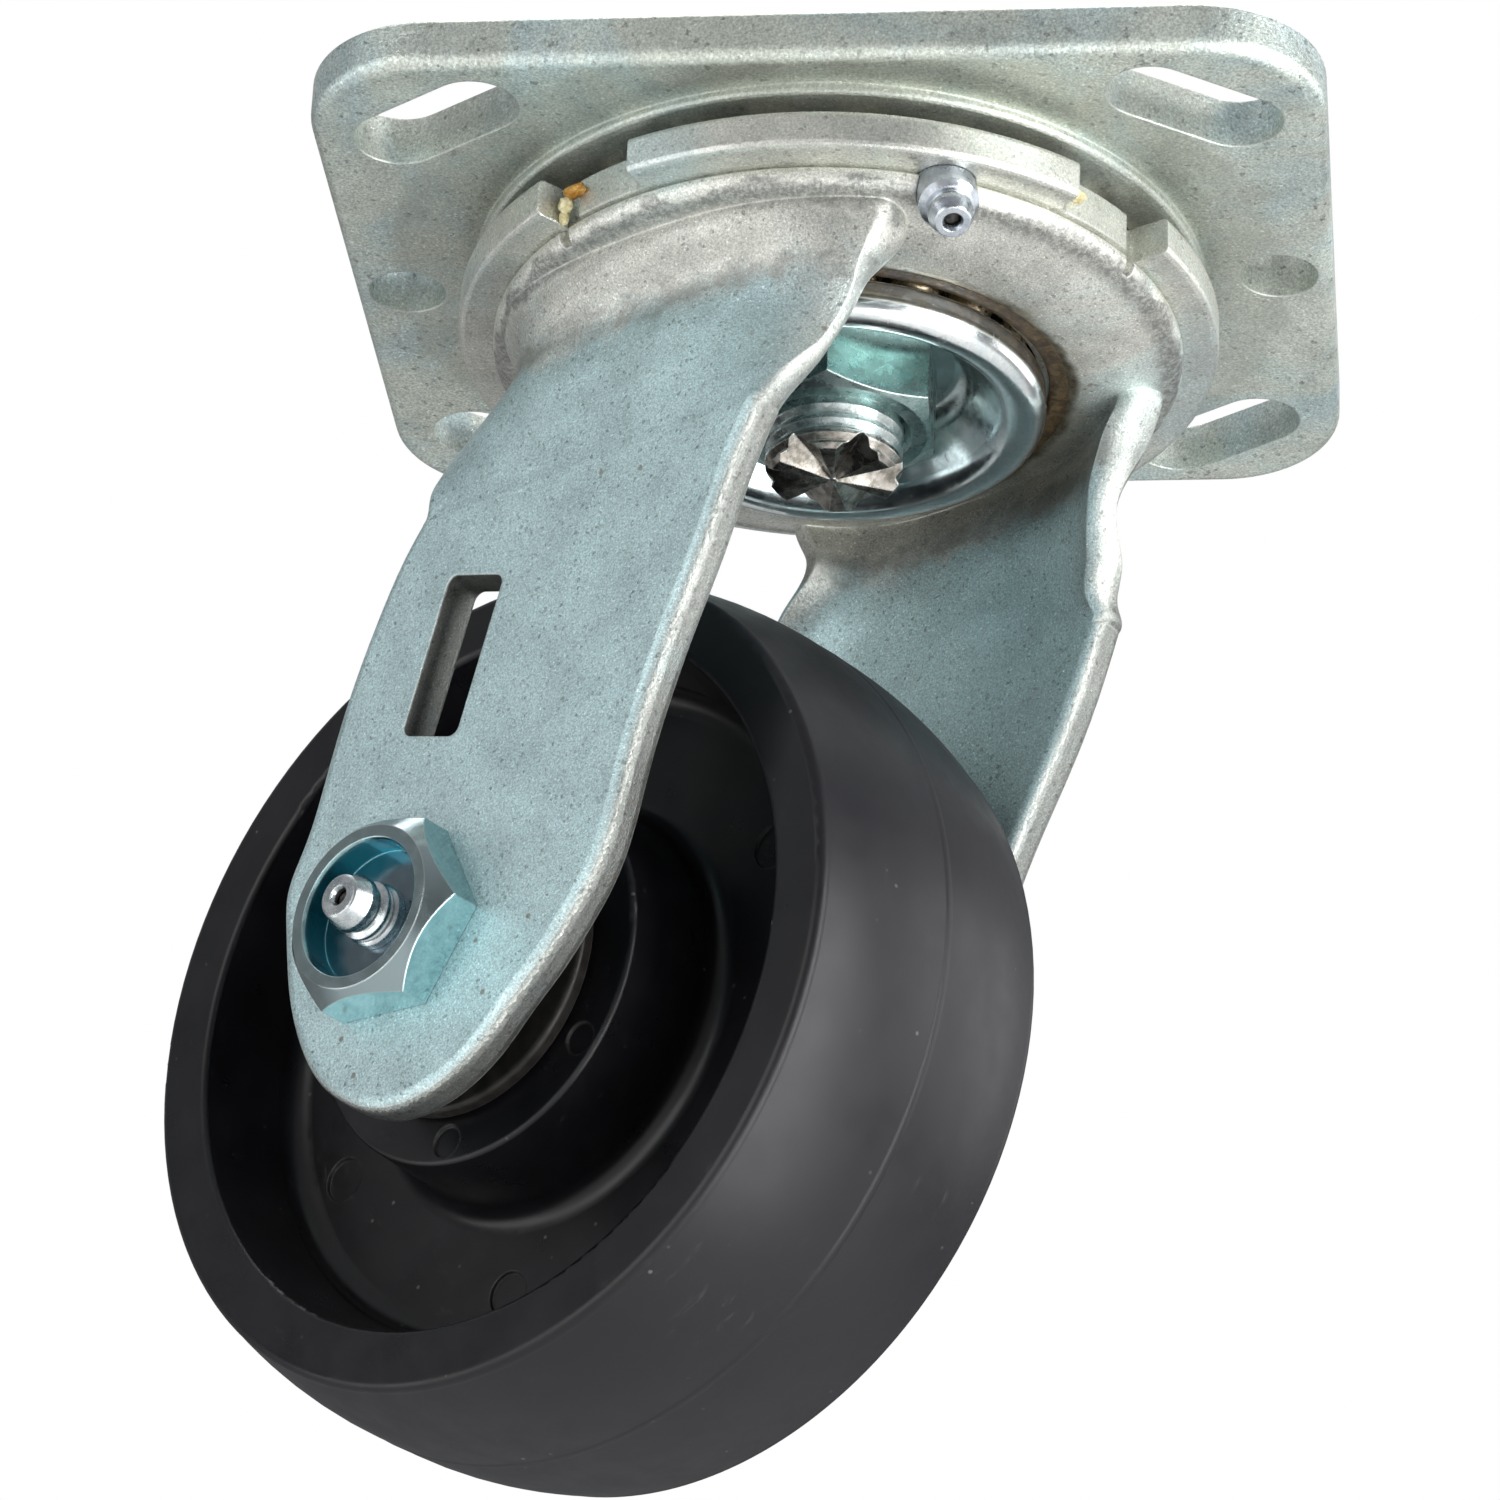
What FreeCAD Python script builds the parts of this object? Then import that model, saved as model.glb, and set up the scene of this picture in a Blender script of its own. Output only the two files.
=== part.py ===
import FreeCAD, Part
import Sketcher
import math
import os

# Swivel plate caster. Millimetres, +Z up.
# Origin: centre of the plate's mounting face, on the swivel axis. X runs along the plate's long
# side. The fork group is drawn with X along the axle and Y towards the trailing side, then turned
# by swivel_angle about Z. In it "near" is the -X side and "far" the +X side.
# Parts on the axle are drawn about their own X axis, with x = 0 at the middle of the wheel.

V = FreeCAD.Vector
doc = FreeCAD.newDocument("swivel_caster")
sheet = doc.addObject("Spreadsheet::Sheet", "dims")

# alias, value, note
DIMS = [
    # top plate
    ("plate_length", 114.3, "long side, 4-1/2 in"),
    ("plate_width", 95.25, "short side, 3-3/4 in"),
    ("plate_thick", 6.0, "plate thickness"),
    ("plate_corner", 14.5, "corner radius"),
    ("slot_out_x", 47.3, "slot outer centre x"),
    ("slot_out_y", 32.6, "slot outer centre y"),
    ("slot_in_x", 37.9, "slot inner centre x"),
    ("slot_in_y", 38.9, "slot inner centre y"),
    ("slot_half", 5.1, "slot half width"),
    ("side_hole_x", 50.9, "round side hole position"),
    ("side_hole_rad", 4.5, "round side hole radius"),
    ("boss_rad", 42.4, "race pad radius"),
    ("boss_drop", 1.6, "race pad height below plate"),
    ("hub_rad", 12.5, "plate centre column radius"),
    ("head_recess_rad", 14.6, "kingpin head recess radius"),
    ("head_recess_deep", 3.7, "kingpin head recess depth"),
    # upper race
    ("top_race_rad", 33.0, "pitch radius of the upper balls"),
    ("top_race_z", -9.1, "height of the upper ball centres"),
    ("top_ball_rad", 3.969, "upper ball radius, 5/16 in ball"),
    ("top_ball_count", 22, "number of upper balls"),
    ("race_play", 0.05, "clearance between ball and race"),
    # lower race
    ("low_race_rad", 20.6, "pitch radius of the lower balls"),
    ("low_race_z", -17.4, "height of the lower ball centres"),
    ("low_ball_rad", 3.175, "lower ball radius, 1/4 in ball"),
    ("low_ball_count", 18, "number of lower balls"),
    # raceway disc
    ("disc_top", -10.6, "top face of the disc"),
    ("disc_bottom", -15.2, "bottom face of the disc, on the fork crown"),
    ("disc_rad", 44.0, "rim radius"),
    ("disc_bore", 17.6, "bore radius"),
    ("disc_neck", 25.95, "neck radius inside the crown"),
    ("disc_neck_z", -18.9, "lower end of the neck"),
    ("notch_rad", 40.3, "floor radius of the rim notches"),
    # kingpin, nut and cup
    ("pin_rad", 7.9375, "kingpin radius, 5/8 in"),
    ("pin_head_rad", 14.0, "kingpin head radius"),
    ("pin_end_z", -32.4, "staked end of the kingpin"),
    ("pin_hole_rad", 7.99, "kingpin hole radius"),
    ("thread_deep", 0.7, "thread depth"),
    ("thread_pitch", 1.9, "thread pitch"),
    ("nut_flats", 22.2, "kingpin nut across flats, 7/8 in"),
    ("nut_top", -17.0, "kingpin nut upper face"),
    ("nut_bottom", -26.3, "kingpin nut lower face"),
    ("cup_rad", 24.2, "cup washer radius"),
    # fork
    ("crown_rad", 39.9, "crown radius"),
    ("crown_hole", 26.0, "crown hole radius"),
    ("crown_bottom", -20.6, "lower face of the crown"),
    ("leg_inner", 28.6, "half gap between the legs"),
    ("leg_thick", 4.7, "leg sheet thickness"),
    ("swivel_angle", 56.6, "fork angle about Z"),
    # axle
    ("axle_lead", 32.2, "axle offset from the swivel axis"),
    ("axle_z", -94.1, "axle height"),
    ("axle_rad", 6.35, "axle radius, 1/2 in"),
    ("axle_hole", 6.40, "axle hole radius in the legs"),
    ("head_flats", 20.8, "axle head across flats"),
    ("head_high", 6.2, "axle head height"),
    ("head_bore", 8.05, "counterbore radius in the axle head"),
    ("head_bore_deep", 3.6, "counterbore depth"),
    ("grease_rad", 1.6, "grease passage radius"),
    ("axle_end", 47.0, "thread end of the axle"),
    ("locknut_flats", 19.05, "lock nut across flats, 3/4 in"),
    # hub stack
    ("sleeve_out", 9.525, "spanner bushing outer radius"),
    ("sleeve_in", 6.42, "spanner bushing bore radius"),
    ("sleeve_half", 28.55, "spanner bushing half length"),
    ("washer_rad", 17.6, "hub washer flange radius"),
    ("washer_thick", 2.2, "hub washer flange thickness"),
    ("washer_neck", 13.0, "hub washer neck radius"),
    ("washer_face", 20.0, "hub washer face, from the wheel centre"),
    ("roller_rad", 1.75, "roller radius"),
    ("roller_pitch", 11.33, "roller pitch radius"),
    ("roller_half", 15.0, "roller half length"),
    ("roller_count", 12, "number of rollers"),
    ("race_in", 13.13, "bearing sleeve bore radius"),
    ("race_out", 15.1, "bearing sleeve outer radius"),
    ("race_half", 19.0, "bearing sleeve half length"),
    ("fitting_seat_rad", 39.2, "swivel fitting seat, distance from the swivel axis"),
    ("fitting_seat_z", -16.5, "swivel fitting seat height"),
    ("fitting_drive_rad", 3.4, "swivel fitting body radius"),
    ("check_ball_rad", 1.2, "check ball radius in the grease fittings"),
    # wheel
    ("wheel_rad", 51.0, "tread radius at the middle, 4 in wheel"),
    ("tread_edge_rad", 48.7, "tread radius at its edge"),
    ("tread_half", 19.1, "half tread width, 1-1/2 in"),
    ("recess_rad", 41.9, "recess radius at the face"),
    ("recess_floor_rad", 39.6, "recess radius at the web"),
    ("web_half", 6.3, "half web thickness"),
    ("hub_end_rad", 22.9, "hub radius at its end"),
    ("hub_root_rad", 23.6, "hub radius at the web"),
    ("hub_half", 19.85, "half hub length"),
]


class Formula:
    """A number with the spreadsheet formula it comes from."""

    def __init__(self, text, value):
        self.text, self.value = text, float(value)

    @staticmethod
    def of(x):
        return x if isinstance(x, Formula) else Formula(repr(float(x)), x)

    def __add__(self, other):
        other = Formula.of(other)
        return Formula("(%s + %s)" % (self.text, other.text), self.value + other.value)

    def __radd__(self, other):
        return Formula.of(other) + self

    def __sub__(self, other):
        other = Formula.of(other)
        return Formula("(%s - %s)" % (self.text, other.text), self.value - other.value)

    def __rsub__(self, other):
        return Formula.of(other) - self

    def __mul__(self, other):
        other = Formula.of(other)
        return Formula("(%s * %s)" % (self.text, other.text), self.value * other.value)

    __rmul__ = __mul__

    def __truediv__(self, other):
        other = Formula.of(other)
        return Formula("(%s / %s)" % (self.text, other.text), self.value / other.value)

    def __neg__(self):
        return Formula("(0 - %s)" % self.text, -self.value)

    def __float__(self):
        return self.value


class Dims:
    """Holds every driving dimension as a Formula, under its alias."""


dim = Dims()
for row, (alias, value, note) in enumerate(DIMS, start=1):
    sheet.set("A%d" % row, note)
    sheet.set("B%d" % row, repr(value))
    sheet.setAlias("B%d" % row, alias)
    setattr(dim, alias, Formula("dims." + alias, value))
doc.recompute()

# pitch radius, height, ball radius and number of balls of each race
UPPER_RACE = (dim.top_race_rad, dim.top_race_z, dim.top_ball_rad, dim.top_ball_count)
LOWER_RACE = (dim.low_race_rad, dim.low_race_z, dim.low_ball_rad, dim.low_ball_count)

PLATE_BOTTOM = -dim.plate_thick
LEG_OUTER = dim.leg_inner + dim.leg_thick
SEAT_GAP = 0.02                            # between touching parts
HEAD_SEAT = -LEG_OUTER - SEAT_GAP          # x of the axle head's underside
HEAD_FACE = HEAD_SEAT - dim.head_high      # x of the axle head's outer face
NUT_SEAT = LEG_OUTER + SEAT_GAP            # x of the lock nut's seat
CROSS_HOLE_X = 0.4                         # cross holes of the axle and the bushing
ARC_MID = 1 - math.sqrt(0.5)               # inset of a corner arc's middle, for radius 1

SWIVEL_RADIANS = math.radians(float(dim.swivel_angle))
AXLE_DIRECTION = V(math.cos(SWIVEL_RADIANS), math.sin(SWIVEL_RADIANS), 0)
AXLE_CENTRE = V(-float(dim.axle_lead) * math.sin(SWIVEL_RADIANS),
                float(dim.axle_lead) * math.cos(SWIVEL_RADIANS), float(dim.axle_z))

# sketch axes of the XZ plane that profiles are revolved about
UPRIGHT = "V_Axis"
ALONG_X = "H_Axis"

SIDES = (("near", -1), ("far", 1))
pieces = []


# ---------------------------------------------------------------- sketches
def new_piece(label, kind="PartDesign::Body"):
    """Add an object that is exported as a piece."""
    piece = doc.addObject(kind, label)
    piece.Label = label
    pieces.append(piece)
    return piece


def plane(body, role):
    return [f for f in body.Origin.OriginFeatures if f.Role == role][0]


def bind(thing, path, value):
    """Tie a property to the spreadsheet, if its value comes from there."""
    if isinstance(value, Formula):
        thing.setExpression(path, value.text)


def bind_constraint(sketch, index, name, value):
    if isinstance(value, Formula):
        sketch.renameConstraint(index, name)
        sketch.setExpression("Constraints." + name, value.text)


def new_sketch(body, name, role, offset=None):
    sketch = body.newObject("Sketcher::SketchObject", name)
    sketch.AttachmentSupport = [(plane(body, role), "")]
    sketch.MapMode = "FlatFace"
    if offset is not None:
        sketch.AttachmentOffset = FreeCAD.Placement(V(0, 0, float(offset)), FreeCAD.Rotation())
        bind(sketch, "AttachmentOffset.Base.z", offset)
    return sketch


def fix(sketch, geo, pos, x, y, tag):
    """Fix a sketch point at x, y from the sketch origin."""
    for kind, axis, value in (("DistanceX", -2, x), ("DistanceY", -1, y)):
        if abs(float(value)) < 1e-9:
            sketch.addConstraint(Sketcher.Constraint("PointOnObject", geo, pos, axis))
            continue
        index = sketch.addConstraint(Sketcher.Constraint(kind, geo, pos, float(value)))
        bind_constraint(sketch, index, "%s_%s" % (tag, kind[-1]), value)


def flat(point):
    return V(float(point[0]), float(point[1]), 0)


def loop(sketch, points, tag="p"):
    """Closed loop. A point is (x, y), or (x, y, (mid_x, mid_y)) when an arc through that middle
    leads to the next."""
    edges = []
    for i, point in enumerate(points):
        start, end = flat(point), flat(points[(i + 1) % len(points)])
        if len(point) == 3:
            geo = sketch.addGeometry(Part.Arc(start, flat(point[2]), end), False)
            radius = sketch.Geometry[geo].Radius
            # the sketcher may store the arc from its other end
            forward = (sketch.getPoint(geo, 1) - start).Length < 1e-4
            half_turn = abs((end - start).Length - 2 * radius) < 1e-3
            if not half_turn:
                sketch.addConstraint(Sketcher.Constraint("Radius", geo, radius))
            edges.append((geo, 1 if forward else 2, 2 if forward else 1, half_turn))
        else:
            geo = sketch.addGeometry(Part.LineSegment(start, end), False)
            edges.append((geo, 1, 2, False))
    for i, (geo, _, end_pos, half_turn) in enumerate(edges):
        next_geo, next_pos = edges[(i + 1) % len(edges)][:2]
        joint = "Tangent" if half_turn else "Coincident"
        sketch.addConstraint(Sketcher.Constraint(joint, geo, end_pos, next_geo, next_pos))
    for i, (point, edge) in enumerate(zip(points, edges)):
        fix(sketch, edge[0], edge[1], point[0], point[1], "%s%d" % (tag, i))


def circle(sketch, x, y, radius, tag="c"):
    geo = sketch.addGeometry(Part.Circle(flat((x, y)), V(0, 0, 1), float(radius)), False)
    index = sketch.addConstraint(Sketcher.Constraint("Radius", geo, float(radius)))
    bind_constraint(sketch, index, tag + "_r", radius)
    fix(sketch, geo, 3, x, y, tag)


def add_spline(sketch, poly):
    spline = Part.BSplineCurve()
    spline.interpolate(poly)
    return sketch.addGeometry(spline, False)


def strip(sketch, outer, inner, lead_bulge, trail_bulge):
    """Closed outline: splines along the outer and the inner face, joined at both ends by a short
    spline that bulges outwards."""
    faces = []
    for points in (outer, inner[::-1]):
        poly = [flat(p) for p in points]
        faces.append((add_spline(sketch, poly), poly))
    caps = []
    for i, bulge in ((0, trail_bulge), (1, lead_bulge)):
        geo, poly = faces[i]
        next_geo, next_poly = faces[1 - i]
        start, end = poly[-1], next_poly[0]
        outwards = ((start - poly[-2]).normalize() + (end - next_poly[1]).normalize()).normalize()
        swell = outwards * bulge
        cap = add_spline(sketch, [start, start + (end - start) * 0.24 + swell,
                                  start + (end - start) * 0.76 + swell, end])
        sketch.addConstraint(Sketcher.Constraint("Coincident", geo, 2, cap, 1))
        sketch.addConstraint(Sketcher.Constraint("Coincident", cap, 2, next_geo, 1))
        caps.append(cap)
    for geo in [face[0] for face in faces] + caps:
        sketch.addConstraint(Sketcher.Constraint("Block", geo))


def smooth_loop(sketch, points):
    """Closed outline: one spline through the points, closed by a straight line."""
    poly = [flat(p) for p in points]
    geo = add_spline(sketch, poly)
    line = sketch.addGeometry(Part.LineSegment(poly[-1], poly[0]), False)
    sketch.addConstraint(Sketcher.Constraint("Coincident", geo, 2, line, 1))
    sketch.addConstraint(Sketcher.Constraint("Coincident", line, 2, geo, 1))
    sketch.addConstraint(Sketcher.Constraint("Block", geo))


def polar_point(radius, degrees):
    angle = math.radians(degrees)
    return (radius * math.cos(angle), radius * math.sin(angle))


def corner_radius(half_flats):
    """Distance from a hexagon's centre to its corners."""
    return half_flats / math.cos(math.radians(30))


def hexagon(half_flats, phase):
    return [polar_point(corner_radius(half_flats), 60 * i + phase) for i in range(6)]


# ---------------------------------------------------------------- features
def volume_of(body):
    doc.recompute()
    return body.Shape.Volume


def finish(body, feature):
    body.Tip = feature
    doc.recompute()


def check_change(body, name, before, cut=True):
    """Stop when a feature left the volume as it was."""
    change = body.Shape.Volume - before
    if (-change if cut else change) <= 1e-6:
        raise RuntimeError(name + (" cut nothing" if cut else " added nothing"))


def spin(body, name, sketch, axis, cut):
    """Revolve a sketch by a full turn."""
    before = volume_of(body) if cut else None
    feature = body.newObject("PartDesign::Groove" if cut else "PartDesign::Revolution", name)
    feature.Profile = sketch
    feature.ReferenceAxis = (sketch, [axis])
    feature.Angle = 360.0
    finish(body, feature)
    if cut:
        check_change(body, name, before)


def revolve(body, name, points, axis=UPRIGHT, cut=False):
    """Revolve a profile drawn in the XZ plane. Points are (x, z)."""
    sketch = new_sketch(body, name + "_profile", "XZ_Plane")
    loop(sketch, points)
    spin(body, name, sketch, axis, cut)


def ball_groove(body, name, race):
    ring, height, ball_rad, _ = race
    sketch = new_sketch(body, name + "_profile", "XZ_Plane")
    circle(sketch, ring, height, ball_rad + dim.race_play)
    spin(body, name, sketch, UPRIGHT, cut=True)


def pad(body, name, sketch, length, reverse=False):
    empty = body.Tip is None or body.Shape.isNull()
    before = 0 if empty else body.Shape.Volume
    feature = body.newObject("PartDesign::Pad", name)
    feature.Profile = sketch
    feature.Length = float(length)
    bind(feature, "Length", length)
    feature.Reversed = reverse
    finish(body, feature)
    check_change(body, name, before, cut=False)


def pocket(body, name, sketch, length=None, reverse=False, both=False):
    """Cut. With no length the cut goes through all. If it misses the solid on one side of the
    sketch, it is made on the other."""
    before = volume_of(body)
    for flip in (reverse, not reverse):
        feature = body.newObject("PartDesign::Pocket", name)
        feature.Profile = sketch
        if length is None:
            feature.Type = 1
        else:
            feature.Length = float(length)
            bind(feature, "Length", length)
        feature.Reversed = flip
        feature.Midplane = both
        finish(body, feature)
        if "Invalid" in sketch.State:
            raise RuntimeError(sketch.Name + " has conflicting constraints")
        if body.Shape.Volume < before - 1e-6:
            return feature
        body.removeObject(feature)
        doc.removeObject(feature.Name)
        doc.recompute()
    raise RuntimeError(name + " cut nothing")


def loft(body, name, sections, cut=False):
    before = volume_of(body)
    kind = "PartDesign::SubtractiveLoft" if cut else "PartDesign::AdditiveLoft"
    feature = body.newObject(kind, name)
    feature.Profile = sections[0]
    feature.Sections = sections[1:]
    finish(body, feature)
    check_change(body, name, before, cut)
    return feature


def polar(body, name, feature, count, axis_role="Z_Axis"):
    pattern = body.newObject("PartDesign::PolarPattern", name)
    pattern.Originals = [feature]
    pattern.Axis = (plane(body, axis_role), [""])
    pattern.Angle = 360.0
    pattern.Occurrences = int(float(count))
    bind(pattern, "Occurrences", count)
    finish(body, pattern)


def fillet(body, name, test, radius):
    """Round the edges that pass the test."""
    base = body.Tip
    names = ["Edge%d" % (i + 1) for i, edge in enumerate(base.Shape.Edges) if test(edge)]
    if not names:
        raise RuntimeError(name + ": no edges found")
    feature = body.newObject("PartDesign::Fillet", name)
    feature.Base = (base, names)
    feature.Radius = radius
    finish(body, feature)
    failed = "Invalid" in feature.State or "Error" in feature.State
    # a round that the kernel can't build is left out, so that the part is still made
    if failed or feature.Shape.isNull() or not feature.Shape.isValid():
        FreeCAD.Console.PrintWarning("fillet %s left out\n" % name)
        body.removeObject(feature)
        doc.removeObject(feature.Name)
        finish(body, base)


def at_height(level):
    """Edge test: the edge lies flat at this z."""
    return lambda edge: (abs(edge.BoundBox.ZMax - level) < 1e-6
                         and abs(edge.BoundBox.ZMin - level) < 1e-6)


def swivelled(body):
    """Turn a body of the fork group about the swivel axis."""
    turn = FreeCAD.Rotation(V(0, 0, 1), float(dim.swivel_angle))
    body.Placement = FreeCAD.Placement(V(0, 0, 0), turn)
    body.setExpression("Placement.Rotation.Angle", "dims.swivel_angle")


def on_axle(piece):
    """Put a piece drawn about its own X axis on the axle."""
    turn = FreeCAD.Rotation(V(0, 0, 1), float(dim.swivel_angle))
    piece.Placement = FreeCAD.Placement(AXLE_CENTRE, turn)
    piece.setExpression("Placement.Base.x", "0 - dims.axle_lead * sin(dims.swivel_angle)")
    piece.setExpression("Placement.Base.y", "dims.axle_lead * cos(dims.swivel_angle)")
    piece.setExpression("Placement.Base.z", "dims.axle_z")
    piece.setExpression("Placement.Rotation.Angle", "dims.swivel_angle")


# ---------------------------------------------------------------- top plate
def cut_plate_slots(body):
    """A slanted slot at each corner."""
    out_x, out_y = dim.slot_out_x, dim.slot_out_y
    in_x, in_y, half = dim.slot_in_x, dim.slot_in_y, dim.slot_half
    run_x, run_y = float(in_x) - float(out_x), float(in_y) - float(out_y)
    length = math.hypot(run_x, run_y)
    run_x, run_y = run_x / length, run_y / length
    side_x, side_y = half * run_y, half * run_x      # across the slot
    end_x, end_y = half * run_x, half * run_y        # along the slot
    sketch = new_sketch(body, "slots", "XY_Plane")
    for i, (sx, sy) in enumerate(((1, 1), (-1, 1), (-1, -1), (1, -1))):
        loop(sketch, [
            ((out_x - side_x) * sx, (out_y + side_y) * sy,
             ((out_x - end_x) * sx, (out_y - end_y) * sy)),
            ((out_x + side_x) * sx, (out_y - side_y) * sy),
            ((in_x + side_x) * sx, (in_y - side_y) * sy,
             ((in_x + end_x) * sx, (in_y + end_y) * sy)),
            ((in_x - side_x) * sx, (in_y + side_y) * sy),
        ], tag="s%d" % i)
    pocket(body, "slot_cuts", sketch)


def make_top_plate():
    body = new_piece("top_plate")
    half_x, half_y = dim.plate_length / 2, dim.plate_width / 2
    corner = dim.plate_corner
    inset = corner * ARC_MID
    sketch = new_sketch(body, "plate_outline", "XY_Plane")
    loop(sketch, [
        (half_x - corner, -half_y, (half_x - inset, -half_y + inset)),
        (half_x, -half_y + corner),
        (half_x, half_y - corner, (half_x - inset, half_y - inset)),
        (half_x - corner, half_y),
        (-half_x + corner, half_y, (-half_x + inset, half_y - inset)),
        (-half_x, half_y - corner),
        (-half_x, -half_y + corner, (-half_x + inset, -half_y + inset)),
        (-half_x + corner, -half_y),
    ])
    pad(body, "plate_sheet", sketch, dim.plate_thick, reverse=True)
    fillet(body, "plate_edge_round", at_height(float(PLATE_BOTTOM)), 1.6)
    fillet(body, "plate_top_round", at_height(0), 0.7)
    cut_plate_slots(body)

    sketch = new_sketch(body, "side_holes", "XY_Plane")
    circle(sketch, dim.side_hole_x, 0, dim.side_hole_rad, "ca")
    circle(sketch, -dim.side_hole_x, 0, dim.side_hole_rad, "cb")
    pocket(body, "side_hole_cuts", sketch)

    # race pad with the centre column below it, both sunk into the plate to join it
    column_bottom, core, sink = -14.15, 5, 1
    pad_rad, pad_bottom = dim.boss_rad, PLATE_BOTTOM - dim.boss_drop
    revolve(body, "race_pad", [
        (core, PLATE_BOTTOM + sink), (pad_rad, PLATE_BOTTOM + sink),
        (pad_rad, PLATE_BOTTOM - 0.8), (pad_rad - 0.12, PLATE_BOTTOM - 1.1),
        (pad_rad - 0.45, PLATE_BOTTOM - 1.32), (pad_rad - 1.2, pad_bottom + 0.15),
        (pad_rad - 3.5, pad_bottom), (dim.hub_rad, pad_bottom),
        (dim.hub_rad, column_bottom), (core, column_bottom)])
    ball_groove(body, "upper_race_groove", UPPER_RACE)

    recess, floor = dim.head_recess_rad, -dim.head_recess_deep
    revolve(body, "head_recess", [(0, 1), (recess + 1.2, 1), (recess + 1.2, 0), (recess, -1.2),
                                  (recess, floor), (0, floor)], cut=True)
    sketch = new_sketch(body, "kingpin_hole_outline", "XY_Plane")
    circle(sketch, 0, 0, dim.pin_hole_rad)
    pocket(body, "kingpin_hole", sketch)


# ---------------------------------------------------------------- kingpin, nut and cup
def make_kingpin():
    body = new_piece("kingpin")
    radius, head, end = dim.pin_rad, dim.pin_head_rad, dim.pin_end_z
    head_top = -0.4
    head_seat = -dim.head_recess_deep + SEAT_GAP
    revolve(body, "pin", [
        (0, head_top), (head - 0.8, head_top), (head, -1.2), (head, head_seat),
        (radius, head_seat), (radius, end + 0.9), (radius - 0.7, end), (0, end)])

    # thread shown as plain rings
    thread_top, pitch = -26.6, dim.thread_pitch
    root = radius - dim.thread_deep
    for i in range(3):
        z = thread_top - pitch * i
        revolve(body, "thread_%d" % (i + 1), [
            (radius + 0.2, z), (root, z - pitch * 0.42), (root, z - pitch * 0.52),
            (radius + 0.2, z - pitch * 0.94)], cut=True)

    # six-ray punch mark that stakes the end: distance from the axis, half width, depth
    sections = []
    for name, reach, half_width, depth in (("stake_inner", 0.4, 0.35, 0.55),
                                           ("stake_outer", 8.6, 3.9, 2.5)):
        sketch = new_sketch(body, name, "YZ_Plane", reach)
        loop(sketch, [(-half_width, end - 0.3), (half_width, end - 0.3), (0, end + depth)])
        sections.append(sketch)
    ray = loft(body, "stake_ray", sections, cut=True)
    polar(body, "stake_star", ray, 6)


def make_kingpin_nut():
    body = new_piece("kingpin_nut")
    half_flats = dim.nut_flats / 2
    top, bottom, bore = dim.nut_top, dim.nut_bottom, dim.pin_hole_rad
    sketch = new_sketch(body, "hex_outline", "XY_Plane", top)
    loop(sketch, hexagon(half_flats, 31.0))
    pad(body, "hex", sketch, top - bottom, reverse=True)
    corner = corner_radius(half_flats)
    revolve(body, "corner_chamfer", [
        (corner + 0.6, bottom + 1.25), (corner + 0.6, bottom - 0.5),
        (half_flats - 1.0, bottom - 0.5), (half_flats - 0.5, bottom)], cut=True)
    sketch = new_sketch(body, "bore_outline", "XY_Plane")
    circle(sketch, 0, 0, bore)
    pocket(body, "bore", sketch)
    revolve(body, "countersink", [
        (0, bottom - 0.1), (bore + 1.0, bottom - 0.1), (bore + 0.9, bottom),
        (bore - 0.1, bottom + 1.0), (0, bottom + 1.0)], cut=True)


def make_cup_washer():
    """Cup that carries the lower race."""
    body = new_piece("cup_washer")
    bore, rim, nut_top = dim.pin_hole_rad, dim.cup_rad, dim.nut_top
    cup_top, shelf = -14.2, -20.0
    revolve(body, "cup", [
        (bore, nut_top), (13.6, nut_top, (15.1, -17.7)), (16.2, -19.0),
        (18.7, -22.6, (20.0, -24.1)), (21.9, -24.7, (23.9, -23.8)), (rim, -22.0),
        (rim, -20.5, (rim - 0.15, -20.15)), (rim - 0.5, shelf), (19.0, shelf),
        (16.4, -14.9, (16.0, -14.4)), (15.2, cup_top), (bore, cup_top)])
    ball_groove(body, "lower_race_groove", LOWER_RACE)


# ---------------------------------------------------------------- raceway disc
# label, middle angle, direction towards the plain end, half angle
RIM_NOTCHES = (("a", 177.1, 1, 8.9), ("b", 266.0, -1, 10.0))


def make_raceway_disc():
    body = new_piece("raceway_disc")
    top, bottom, rim = dim.disc_top, dim.disc_bottom, dim.disc_rad
    neck, neck_z, bore = dim.disc_neck, dim.disc_neck_z, dim.disc_bore
    revolve(body, "disc", [
        (bore, top), (rim - 0.7, top), (rim - 0.2, top - 0.2), (rim, top - 0.7),
        (rim, bottom + 0.7), (rim - 0.2, bottom + 0.2), (rim - 0.7, bottom),
        (neck, bottom), (neck, neck_z), (neck - 2.3, neck_z), (bore + 4.2, -17.4),
        (bore, bottom + 1.4)])
    ball_groove(body, "upper_groove", UPPER_RACE)
    ball_groove(body, "lower_groove", LOWER_RACE)

    # rim notches, one each quarter turn, with a small relief at one end
    floor = float(dim.notch_rad)
    for label, middle, way, half_angle in RIM_NOTCHES:
        relief, plain = middle - way * half_angle, middle + way * half_angle
        sketch = new_sketch(body, "notch_outline_" + label, "XY_Plane")
        loop(sketch, [
            polar_point(floor, relief + way * 4.0) + (polar_point(floor, middle + way * 3.0),),
            polar_point(floor, plain - way * 1.6) + (polar_point(floor + 0.5, plain - way * 0.5),),
            polar_point(floor + 1.6, plain),
            polar_point(50, plain), polar_point(56, middle), polar_point(50, relief),
            polar_point(floor - 0.6, relief) + (polar_point(floor - 2.4, relief + way * 1.6),),
            polar_point(floor - 0.6, relief + way * 3.2)])
        notch = pocket(body, "rim_notch_" + label, sketch)
        polar(body, "rim_notches_" + label, notch, 2)
    swivelled(body)
    return body


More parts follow.
